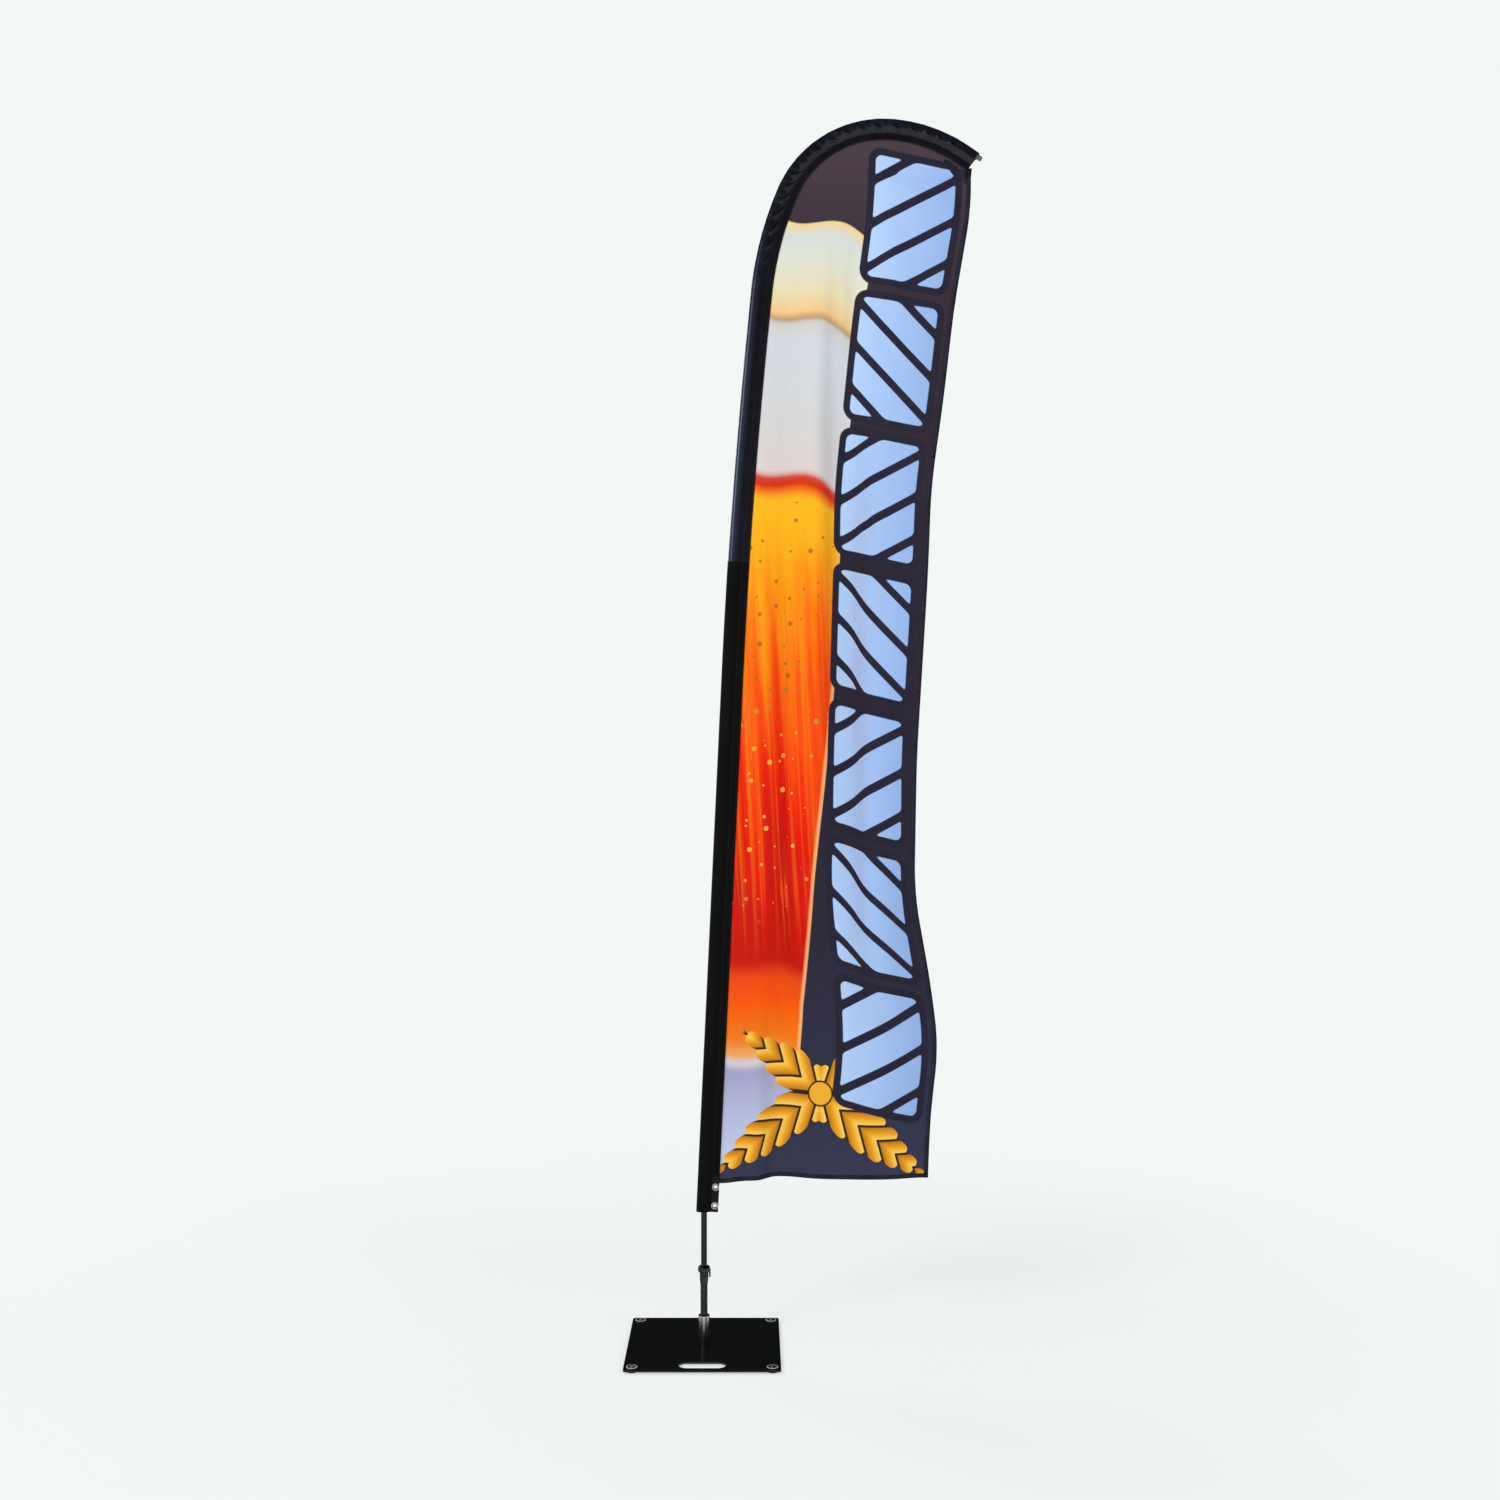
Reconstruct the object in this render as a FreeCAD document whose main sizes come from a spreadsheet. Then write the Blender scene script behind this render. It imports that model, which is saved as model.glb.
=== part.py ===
import FreeCAD
import Part
import Sketcher
import math
import os

# Feather flag on a square steel base.  Millimetres, +Z up.  The origin is the point of the
# floor straight below the spindle; the flag flies towards +X and its two faces look along Y.
# The base, its spindle and the bearings are turned and plate parts.  The pole plugs together
# from four sections and bends over at the top, and the fabric sleeve follows it.

Vector = FreeCAD.Vector

# Driving sizes: alias, value, what it measures.
SIZES = [
    ("plate_side", 400, "side of the square base plate"),
    ("plate_thickness", 5, "base plate"),
    ("plate_corner", 9, "radius of the plate's four corners"),
    ("plate_edge_round", 1, "rounding of the plate's upper edge"),
    ("slot_length", 120, "carrying slot, end to end"),
    ("slot_width", 44, "carrying slot, front to back"),
    ("slot_margin", 16, "plate edge to carrying slot"),
    ("foot_height", 5, "rubber foot below the plate"),
    ("foot_radius", 15, "rubber foot"),
    ("foot_inset", 22, "plate edge to a foot's centre"),
    ("foot_chamfer", 0.8, "lower edge of a rubber foot"),
    ("foot_web", 1.5, "rubber left between the plate and the nut recess"),
    ("foot_recess", 6.5, "radius of the nut recess"),
    ("screw_radius", 2.5, "foot screw"),
    ("screw_head_radius", 4.7, "foot screw head"),
    ("screw_head_rise", 2.4, "foot screw head"),
    ("screw_head_side", 0.9, "upright edge of the head, below its dome"),
    ("screw_head_crown", 3.4, "radius of the flat on the head's dome"),
    ("screw_recess", 1.6, "radius of the recess for the driver"),
    ("screw_recess_floor", 1, "that recess's floor above the head's underside"),
    ("cup_rise", 2.2, "cup washer round each foot screw"),
    ("cup_edge", 0.8, "height of the cup washer's outer edge"),
    ("cup_bevel", 1.4, "cup washer's outer edge to its rim"),
    ("cup_inner", 5, "cup washer's outer edge to the slope inside its rim"),
    ("cup_floor", 1, "cup washer under the screw's head"),
    ("cup_room", 1.2, "cup washer's floor outside the screw's head"),
    ("nut_thickness", 2.6, "foot nut"),
    ("nut_corner_radius", 4.6, "foot nut, centre to corner"),
    ("fixed_gap", 0.05, "radial clearance of parts fixed in each other"),
    ("running_gap", 0.08, "radial clearance of parts that turn or slide"),
    ("bolt_radius", 5, "spindle bolt shank"),
    ("bolt_head_radius", 9, "spindle bolt's countersunk head"),
    ("bolt_reach", 20, "spindle bolt inside the housing"),
    ("bolt_chamfer", 1, "end of the spindle bolt"),
    ("bolt_point", 3, "drilled point above the bolt's hole in the housing"),
    ("bolt_clearance", 1, "end of the bolt to the point"),
    ("key_socket", 3.5, "bolt's hexagon socket, centre to corner"),
    ("key_depth", 3, "bolt's hexagon socket"),
    ("housing_wall", 2, "bearing housing"),
    ("housing_floor", 3, "housing between the bolt's hole and the shaft's"),
    ("shaft_room", 4, "housing's floor to the lower bearing"),
    ("bearing_radius", 12, "outside of both ball bearings"),
    ("bearing_width", 6, "one ball bearing"),
    ("bearing_spacing", 12, "between the two bearings"),
    ("bearing_shoulder", 1.5, "housing's ledge under the lower bearing"),
    ("race_margin", 0.3, "ring of a bearing to the part that presses on it"),
    ("race_depth", 1.7, "half the gap between the two rings of a bearing"),
    ("shaft_radius", 6, "spindle shaft in the bearings"),
    ("shaft_tail", 3, "spindle shaft below the lower bearing"),
    ("shaft_chamfer", 0.6, "lower end of the spindle shaft"),
    ("ring_groove", 1.4, "groove for the retaining ring, along the shaft"),
    ("ring_groove_depth", 0.8, "groove for the retaining ring"),
    ("retaining_ring", 1.3, "thickness of the retaining ring"),
    ("cap_wall", 3.2, "bearing cap outside the dust seal"),
    ("cap_chamfer", 1.2, "upper edge of the bearing cap"),
    ("cap_step", 1.5, "housing's top to where the cap's bore narrows"),
    ("cap_spigot", 6, "bearing cap inside the housing"),
    ("cap_height", 15, "bearing cap above the housing"),
    ("seal_height", 4, "dust seal in the cap"),
    ("seal_width", 1.9, "dust seal, from the cap's bore outwards"),
    ("tube_wall", 1.4, "spindle tube"),
    ("tube_lift", 2, "tube's lower end above the housing"),
    ("tube_length", 85, "spindle tube"),
    ("shaft_plug", 38, "shaft inside the tube"),
    ("spigot_depth", 10, "pole socket plugged into the tube"),
    ("spigot_wall", 0.7, "pole socket plugged into the tube"),
    ("socket_step", 0.4, "tube's surface to the socket's neck"),
    ("socket_wall", 3.4, "pole socket at its widest"),
    ("socket_taper", 21, "height of the socket's taper"),
    ("socket_foot", 2, "straight part of the socket below its taper"),
    ("socket_straight", 16, "height of the socket above its taper"),
    ("collar_neck", 3, "height of the collar's neck"),
    ("neck_step", 0.5, "pole socket's surface to the collar's neck"),
    ("collar_wall", 8, "hook collar"),
    ("collar_height", 16, "hook collar"),
    ("collar_round", 4, "rounding of the collar's edges"),
    ("hook_gap", 1.5, "pole socket to the hook"),
    ("hook_thickness", 4.5, "hook, measured from the axis outwards"),
    ("hook_width", 7, "hook"),
    ("hook_drop", 12.5, "hook below the collar"),
    ("grip_ring_width", 1.5, "rubber grip ring in the collar"),
    ("grip_ring_rise", 6, "collar's underside to the grip ring"),
    ("grip_ring_height", 3, "rubber grip ring in the collar"),
    ("pole_radius", 8, "lower pole"),
    ("pole_wall", 1.2, "lower and middle pole tubes"),
    ("plug_flange", 2, "flange of the pole's end plug"),
    ("plug_depth", 25, "end plug inside the pole"),
    ("upper_wall", 1.9, "upper pole tube"),
    ("plug_in", 110, "one pole section inside the next"),
    ("ferrule_length", 28, "ferrule at the end of a section"),
    ("ferrule_wall", 0.8, "ferrule"),
    ("lower_joint", 960, "pole's foot to the lower joint, along the pole"),
    ("middle_joint", 1950, "pole's foot to the middle joint, along the pole"),
    ("upper_joint", 2690, "pole's foot to the upper joint, along the pole"),
    ("upright_run", 260, "straight upright start of the pole"),
    ("lower_bend", 8000, "radius where the pole starts to lean"),
    ("lean", 2.7, "degrees the pole leans after that"),
    ("straight_run", 1040, "straight leaning part of the pole"),
    ("slow_bend", 17000, "radius of the slow bend above it"),
    ("slow_turn", 3.35, "degrees turned in the slow bend"),
    ("shoulder_bend", 930, "radius of the shoulder"),
    ("shoulder_turn", 17.1, "degrees turned in the shoulder"),
    ("crown_bend", 292, "radius of the crown"),
    ("crown_turn", 71.6, "degrees turned in the crown"),
    ("descent_bend", 406, "radius beyond the crown"),
    ("descent_turn", 29.8, "degrees turned beyond the crown"),
    ("tip_run", 40, "straight end of the pole"),
    ("tip_cap_radius", 6.5, "plastic cap on the tip rod"),
    ("tip_cap_length", 15, "tip cap beyond the sleeve"),
    ("tip_cap_depth", 12, "tip cap inside the sleeve"),
    ("sleeve_ease", 0.65, "lower ferrule to the inside of the sleeve"),
    ("sleeve_slack", 2.5, "pole's lowest place in the sleeve to where the sleeve narrows"),
    ("sleeve_narrowing", 15, "from there to where the sleeve's two layers meet"),
    ("sleeve_band", 19, "two layers sewn flat, up to the sewn edge"),
    ("cloth", 1, "one layer of cloth as modelled, and half a sewn double layer"),
    ("sleeve_tail", 391, "sleeve below the straight leaning part of the pole"),
    ("sleeve_lower_length", 1700, "lower part of the sleeve"),
    ("sleeve_short", 9, "sleeve ends before the end of the pole"),
    ("tail_patch_start", 4, "sleeve's lower end to the tail patch"),
    ("tail_patch_length", 92, "tail patch"),
    ("tail_patch_depth", 18, "tail patch across the sleeve"),
    ("eyelet_inset", 9, "sewn edge to the eyelets"),
    ("lower_eyelet_rise", 17, "sleeve's lower end to the lower eyelet"),
    ("upper_eyelet_rise", 66, "sleeve's lower end to the upper eyelet"),
    ("eyelet_bore", 5, "radius of the eyelet's hole"),
    ("eyelet_barrel", 6, "radius of the eyelet's barrel"),
    ("eyelet_rim", 9.6, "radius of the eyelet's rims"),
    ("eyelet_rim_rise", 0.9, "thickness of one rim"),
    ("hem_rise", 74, "sleeve's lower end to the flag's lower edge"),
    ("hem_width", 12, "hems of the flag"),
    ("corner_inset", 21, "flag's upper corner back from the tip"),
    ("corner_short", 4, "flag's upper corner before the sleeve's end, along the sleeve"),
    ("middle_rise", 27, "middle of the flag's lower edge above its inner end"),
    ("corner_rise", 22, "flag's lower corner above the lower edge's inner end"),
    ("wave_depth", 46, "how far the flag's folds stand out"),
    ("wave_least", 12, "how far the folds stand out far from their deepest place"),
    ("wave_length", 500, "from one fold to the next"),
    ("wave_start", 220, "sewn edge to where the folds have their full depth"),
    ("tip_patch_side", 62, "reinforcing patch at the flag's upper corner"),
    ("strap_width", 12, "webbing strap at the flag's upper corner"),
    ("strap_thickness", 2, "webbing strap"),
    ("strap_length", 30, "webbing strap"),
    ("strap_above", 8, "upper end of the strap above the flag's corner"),
    ("strap_offset", 3.5, "far face of the strap in front of the flag"),
]

# Levels and radii worked out from the sizes: alias, formula.
LEVELS = [
    ("half_spacing", "plate_side / 2 - foot_inset"),
    ("plate_top", "foot_height + plate_thickness"),
    ("head_level", "plate_top + cup_floor"),
    ("foot_web_level", "foot_height - foot_web"),
    ("screw_end", "foot_web_level - nut_thickness"),
    ("bolt_end", "plate_top + bolt_reach"),
    ("bolt_hole_end", "bolt_end + bolt_point"),
    ("lower_bearing", "bolt_hole_end + housing_floor + shaft_room"),
    ("lower_bearing_top", "lower_bearing + bearing_width"),
    ("upper_bearing", "lower_bearing_top + bearing_spacing"),
    ("upper_bearing_top", "upper_bearing + bearing_width"),
    ("housing_top", "upper_bearing_top + cap_spigot"),
    ("housing_radius", "bearing_radius + housing_wall"),
    ("ball_pitch_radius", "(shaft_radius + bearing_radius) / 2"),
    ("ball_radius", "race_depth - fixed_gap"),
    ("inner_race", "ball_pitch_radius - race_depth"),
    ("outer_race", "ball_pitch_radius + race_depth"),
    ("socket_bore", "pole_radius + running_gap"),
    ("tube_radius", "socket_bore + tube_wall"),
    ("tube_low", "housing_top + tube_lift"),
    ("tube_top", "tube_low + tube_length"),
    ("pole_foot", "tube_low + shaft_plug"),
    ("cap_bore", "tube_radius + 5 * running_gap"),
    ("seal_radius", "cap_bore + seal_width"),
    ("cap_radius", "seal_radius + cap_wall"),
    ("cap_top", "housing_top + cap_height"),
    ("seal_level", "cap_top - seal_height"),
    ("spigot_level", "tube_top - spigot_depth"),
    ("spigot_radius", "socket_bore + spigot_wall"),
    ("socket_neck_radius", "tube_radius - socket_step"),
    ("socket_radius", "socket_bore + socket_wall"),
    ("taper_top", "tube_top + socket_taper"),
    ("socket_top", "taper_top + socket_straight"),
    ("collar_neck_radius", "socket_radius - neck_step"),
    ("collar_radius", "socket_bore + collar_wall"),
    ("collar_low", "socket_top + collar_neck"),
    ("collar_top", "collar_low + collar_height"),
    ("hook_reach", "socket_radius + hook_gap + hook_thickness"),
    ("grip_ring_radius", "socket_bore + grip_ring_width"),
    ("ring_level", "collar_low + grip_ring_rise"),
    ("ring_level_top", "ring_level + grip_ring_height"),
    ("pole_bore", "pole_radius - pole_wall"),
    ("middle_radius", "pole_bore - 2 * fixed_gap"),
    ("middle_bore", "middle_radius - pole_wall"),
    ("upper_radius", "middle_bore - 2 * fixed_gap"),
    ("upper_bore", "upper_radius - upper_wall"),
    ("tip_radius", "upper_bore - 2 * fixed_gap"),
    ("sleeve_nose", "pole_radius + fixed_gap + ferrule_wall + sleeve_ease + cloth"),
    ("patch_face", "2 * cloth"),
    ("eyelet_face", "patch_face + eyelet_rim_rise"),
]

# The flag's free edge, from its lower corner to its upper corner: height as a share of the
# flag's height, reach as a share of the flag's reach.  The share changes because the cloth
# stands in folds.
FREE_EDGE = [
    (0.000, 0.846), (0.060, 0.849), (0.125, 0.873), (0.184, 0.847), (0.286, 0.789),
    (0.420, 0.798), (0.597, 0.833), (0.688, 0.847), (0.777, 0.892), (0.866, 0.933),
    (0.926, 0.974), (0.966, 1.001), (1.000, 1.000),
]

doc = FreeCAD.newDocument("FeatherFlag")
sheet = doc.addObject("Spreadsheet::Sheet", "Sizes")
nodes = []


def fill_sheet():
    row = 1
    for alias, value, meaning in SIZES:
        sheet.set(f"A{row}", alias)
        sheet.set(f"B{row}", str(value))
        sheet.set(f"C{row}", meaning)
        sheet.setAlias(f"B{row}", alias)
        row += 1
    for alias, formula in LEVELS:
        sheet.set(f"A{row}", alias)
        sheet.set(f"B{row}", "=" + formula)
        sheet.setAlias(f"B{row}", alias)
        row += 1
    doc.recompute()


def size(alias):
    return float(sheet.get(alias))


def bound(expression):
    """Writes the sheet's name before every alias of a short formula."""
    words = {alias for alias, _, _ in SIZES} | {alias for alias, _ in LEVELS}
    parts = expression.replace("(", " ( ").replace(")", " ) ").split()
    return " ".join("Sizes." + part if part in words else part for part in parts)


def value_of(expression):
    result = sheet.evalExpression(bound(expression))
    return float(getattr(result, "Value", result))


def keep(thing, label):
    thing.Label = label
    nodes.append(thing)
    return thing


def new_body(label):
    return doc.addObject("PartDesign::Body", "Body_" + label)


def origin_plane(body, role):
    for feature in body.Origin.OriginFeatures:
        if feature.Role == role:
            return feature
    raise ValueError(role)


def outline_sketch(body, role, corners):
    """A closed outline whose corners are tied to the sheet, each as (across, up)."""
    sketch = body.newObject("Sketcher::SketchObject", body.Name + "_outline")
    sketch.AttachmentSupport = [(origin_plane(body, role), "")]
    sketch.MapMode = "FlatFace"
    places = [Vector(value_of(across), value_of(up), 0) for across, up in corners]
    count = len(corners)
    for i in range(count):
        sketch.addGeometry(Part.LineSegment(places[i], places[(i + 1) % count]), False)
    for i in range(count):
        sketch.addConstraint(Sketcher.Constraint("Coincident", i, 2, (i + 1) % count, 1))
    for i, (across, up) in enumerate(corners):
        for kind, axis, expression, place in (
            ("DistanceX", -2, across, places[i].x),
            ("DistanceY", -1, up, places[i].y),
        ):
            if expression == "0":
                sketch.addConstraint(Sketcher.Constraint("PointOnObject", i, 1, axis))
                continue
            number = sketch.addConstraint(Sketcher.Constraint(kind, -1, 1, i, 1, place))
            sketch.setExpression(f"Constraints[{number}]", bound(expression))
    return sketch


def turned(label, corners):
    """A body turned about Z from an outline of (radius, height) corners."""
    body = new_body(label)
    sketch = outline_sketch(body, "XZ_Plane", corners)
    doc.recompute()
    turn = body.newObject("PartDesign::Revolution", body.Name + "_turn")
    turn.Profile = sketch
    turn.ReferenceAxis = (sketch, ["V_Axis"])
    turn.Angle = 360
    doc.recompute()
    return body


def cut_primitive(body, kind, name, sizes, place):
    """A subtractive box, cylinder or cone in a body, its sizes and place tied to the sheet."""
    cutter = body.newObject("PartDesign::" + kind, body.Name + "_" + name)
    for prop, expression in sizes.items():
        cutter.setExpression(prop, bound(expression))
    for letter, expression in zip("xyz", place):
        cutter.setExpression("Placement.Base." + letter, bound(expression))
    return cutter


def put_at_corner(body, across, deep):
    """Moves a body turned on the axis to one of the plate's four feet."""
    body.setExpression("Placement.Base.x", bound(f"{across} * half_spacing"))
    body.setExpression("Placement.Base.y", bound(f"{deep} * half_spacing"))


CORNERS = [(-1, -1), (1, -1), (1, 1), (-1, 1)]


def at_four_corners(label, make):
    """Four separate solids in one node, one at each foot."""
    pieces = []
    for number, (across, deep) in enumerate(CORNERS, 1):
        piece = make(f"{label}_{number}")
        put_at_corner(piece, across, deep)
        pieces.append(piece)
    group = doc.addObject("Part::Compound", "Group_" + label)
    group.Links = pieces
    return keep(group, label)


# ---------------------------------------------------------------- base plate and feet


def base_plate():
    body = new_body("base_plate")
    plate = body.newObject("PartDesign::AdditiveBox", "Plate")
    for prop, expression in (
        ("Length", "plate_side"),
        ("Width", "plate_side"),
        ("Height", "plate_thickness"),
        ("Placement.Base.x", "0 - plate_side / 2"),
        ("Placement.Base.y", "0 - plate_side / 2"),
        ("Placement.Base.z", "foot_height"),
    ):
        plate.setExpression(prop, bound(expression))
    doc.recompute()
    uprights = []
    for number, edge in enumerate(plate.Shape.Edges, 1):
        if abs(edge.tangentAt(edge.FirstParameter).z) > 0.9:
            uprights.append(f"Edge{number}")
    corners = body.newObject("PartDesign::Fillet", "PlateCorners")
    corners.Base = (plate, uprights)
    corners.setExpression("Radius", bound("plate_corner"))
    doc.recompute()
    rims = []
    for number, edge in enumerate(corners.Shape.Edges, 1):
        box = edge.BoundBox
        if box.ZLength < 0.01 and abs(box.ZMax - size("plate_top")) < 0.01:
            rims.append(f"Edge{number}")
    rounding = body.newObject("PartDesign::Fillet", "PlateRim")
    rounding.Base = (corners, rims)
    rounding.setExpression("Radius", bound("plate_edge_round"))
    doc.recompute()
    front = "slot_margin + slot_width / 2 - plate_side / 2"
    cut_primitive(
        body, "SubtractiveBox", "slot",
        {"Length": "slot_length - slot_width", "Width": "slot_width", "Height": "plate_thickness + 2"},
        ("( slot_width - slot_length ) / 2", "slot_margin - plate_side / 2", "foot_height - 1"),
    )
    for side in (-1, 1):
        cut_primitive(
            body, "SubtractiveCylinder", f"slot_end_{side + 1}",
            {"Radius": "slot_width / 2", "Height": "plate_thickness + 2"},
            (f"{side} * ( slot_length - slot_width ) / 2", front, "foot_height - 1"),
        )
    for number, (across, deep) in enumerate(CORNERS, 1):
        cut_primitive(
            body, "SubtractiveCylinder", f"screw_hole_{number}",
            {"Radius": "screw_radius + fixed_gap", "Height": "plate_thickness + 2"},
            (f"{across} * half_spacing", f"{deep} * half_spacing", "foot_height - 1"),
        )
    cut_primitive(
        body, "SubtractiveCylinder", "bolt_hole",
        {"Radius": "bolt_radius + fixed_gap", "Height": "plate_thickness + 2"},
        ("0", "0", "foot_height - 1"),
    )
    cut_primitive(
        body, "SubtractiveCone", "countersink",
        {
            "Radius1": "bolt_head_radius + fixed_gap",
            "Radius2": "bolt_radius + fixed_gap",
            "Height": "bolt_head_radius - bolt_radius",
        },
        ("0", "0", "foot_height"),
    )
    doc.recompute()
    keep(body, "base_plate")


def rubber_foot(label, across, deep):
    foot = turned("rubber_foot", [
        ("screw_radius + fixed_gap", "foot_web_level"),
        ("foot_recess", "foot_web_level"),
        ("foot_recess", "0"),
        ("foot_radius - foot_chamfer", "0"),
        ("foot_radius", "foot_chamfer"),
        ("foot_radius", "foot_height"),
        ("screw_radius + fixed_gap", "foot_height"),
    ])
    put_at_corner(foot, across, deep)
    keep(foot, label)


def cup_washer(name):
    return turned(name, [
        ("screw_radius + fixed_gap", "plate_top"),
        ("foot_radius", "plate_top"),
        ("foot_radius", "plate_top + cup_edge"),
        ("foot_radius - cup_bevel", "plate_top + cup_rise"),
        ("foot_radius - cup_inner", "plate_top + cup_rise"),
        ("screw_head_radius + cup_room", "head_level"),
        ("screw_radius + fixed_gap", "head_level"),
    ])


def foot_screw(name):
    return turned(name, [
        ("0", "screw_end"),
        ("screw_radius", "screw_end"),
        ("screw_radius", "head_level"),
        ("screw_head_radius", "head_level"),
        ("screw_head_radius", "head_level + screw_head_side"),
        ("screw_head_crown", "head_level + screw_head_rise"),
        ("screw_recess", "head_level + screw_head_rise"),
        ("screw_recess", "head_level + screw_recess_floor"),
        ("0", "head_level + screw_recess_floor"),
    ])


def foot_nut(name):
    blank = doc.addObject("Part::Prism", name + "_blank")
    blank.Polygon = 6
    blank.setExpression("Circumradius", bound("nut_corner_radius"))
    blank.setExpression("Height", bound("nut_thickness"))
    blank.setExpression("Placement.Base.z", bound("screw_end"))
    hole = doc.addObject("Part::Cylinder", name + "_hole")
    hole.setExpression("Radius", bound("screw_radius + fixed_gap"))
    hole.setExpression("Height", bound("nut_thickness + 2"))
    hole.setExpression("Placement.Base.z", bound("screw_end - 1"))
    nut = doc.addObject("Part::Cut", name)
    nut.Base = blank
    nut.Tool = hole
    return nut


# ---------------------------------------------------------------- spindle, fixed parts


def spindle_bolt():
    blank = turned("spindle_bolt", [
        ("0", "foot_height"),
        ("bolt_head_radius", "foot_height"),
        ("bolt_radius", "foot_height + bolt_head_radius - bolt_radius"),
        ("bolt_radius", "bolt_end - bolt_chamfer"),
        ("bolt_radius - bolt_chamfer", "bolt_end"),
        ("0", "bolt_end"),
    ])
    key = doc.addObject("Part::Prism", "BoltKeySocket")
    key.Polygon = 6
    key.setExpression("Circumradius", bound("key_socket"))
    key.setExpression("Height", bound("key_depth + 1"))
    key.setExpression("Placement.Base.z", bound("foot_height - 1"))
    bolt = doc.addObject("Part::Cut", "SpindleBolt")
    bolt.Base = blank
    bolt.Tool = key
    keep(bolt, "spindle_bolt")


def bearing_housing():
    keep(turned("bearing_housing", [
        ("bolt_radius + fixed_gap", "plate_top"),
        ("housing_radius", "plate_top"),
        ("housing_radius", "housing_top"),
        ("bearing_radius + fixed_gap", "housing_top"),
        ("bearing_radius + fixed_gap", "lower_bearing"),
        ("bearing_radius - bearing_shoulder", "lower_bearing"),
        ("bearing_radius - bearing_shoulder", "lower_bearing - shaft_room"),
        ("0", "lower_bearing - shaft_room"),
        ("0", "bolt_hole_end"),
        ("bolt_radius + fixed_gap", "bolt_end + bolt_clearance"),
    ]), "bearing_housing")


def bearing_cap():
    keep(turned("bearing_cap", [
        ("outer_race + race_margin", "upper_bearing_top"),
        ("bearing_radius", "upper_bearing_top"),
        ("bearing_radius", "housing_top"),
        ("cap_radius", "housing_top"),
        ("cap_radius", "cap_top - cap_chamfer"),
        ("cap_radius - cap_chamfer", "cap_top"),
        ("seal_radius + fixed_gap", "cap_top"),
        ("seal_radius + fixed_gap", "seal_level"),
        ("cap_bore", "seal_level"),
        ("cap_bore", "housing_top + cap_step"),
        ("outer_race + race_margin", "housing_top + cap_step"),
    ]), "bearing_cap")


def ring(label, inner, outer, low, high):
    keep(turned(label, [(inner, low), (outer, low), (outer, high), (inner, high)]), label)


def bearing_balls(label, level):
    balls = []
    for number in range(9):
        ball = doc.addObject("Part::Sphere", f"Ball_{label}_{number}")
        angle = math.radians(40 * number)
        ball.setExpression("Radius", bound("ball_radius"))
        ball.setExpression("Placement.Base.x", bound(f"ball_pitch_radius * {math.cos(angle):.6f}"))
        ball.setExpression("Placement.Base.y", bound(f"ball_pitch_radius * {math.sin(angle):.6f}"))
        ball.setExpression("Placement.Base.z", bound(f"{level} + bearing_width / 2"))
        balls.append(ball)
    group = doc.addObject("Part::Compound", "Group_" + label)
    group.Links = balls
    keep(group, label)


# ---------------------------------------------------------------- spindle, turning parts


def spindle_shaft():
    keep(turned("spindle_shaft", [
        ("0", "lower_bearing - shaft_tail"),
        ("shaft_radius - shaft_chamfer", "lower_bearing - shaft_tail"),
        ("shaft_radius", "lower_bearing - shaft_tail + shaft_chamfer"),
        ("shaft_radius", "lower_bearing - ring_groove"),
        ("shaft_radius - ring_groove_depth", "lower_bearing - ring_groove"),
        ("shaft_radius - ring_groove_depth", "lower_bearing"),
        ("shaft_radius", "lower_bearing"),
        ("shaft_radius", "upper_bearing_top"),
        ("inner_race", "upper_bearing_top"),
        ("inner_race", "tube_low"),
        ("socket_bore - fixed_gap", "tube_low"),
        ("socket_bore - fixed_gap", "pole_foot"),
        ("0", "pole_foot"),
    ]), "spindle_shaft")


def spindle_tube():
    keep(turned("spindle_tube", [
        ("socket_bore", "tube_low"),
        ("tube_radius", "tube_low"),
        ("tube_radius", "tube_top"),
        ("spigot_radius + fixed_gap", "tube_top"),
        ("spigot_radius + fixed_gap", "spigot_level"),
        ("socket_bore", "spigot_level"),
    ]), "spindle_tube")


def pole_socket():
    keep(turned("pole_socket", [
        ("socket_bore", "spigot_level"),
        ("spigot_radius", "spigot_level"),
        ("spigot_radius", "tube_top"),
        ("socket_neck_radius", "tube_top"),
        ("socket_neck_radius", "tube_top + socket_foot"),
        ("socket_radius", "taper_top"),
        ("socket_radius", "socket_top"),
        ("socket_bore", "socket_top"),
    ]), "pole_socket")


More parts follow.
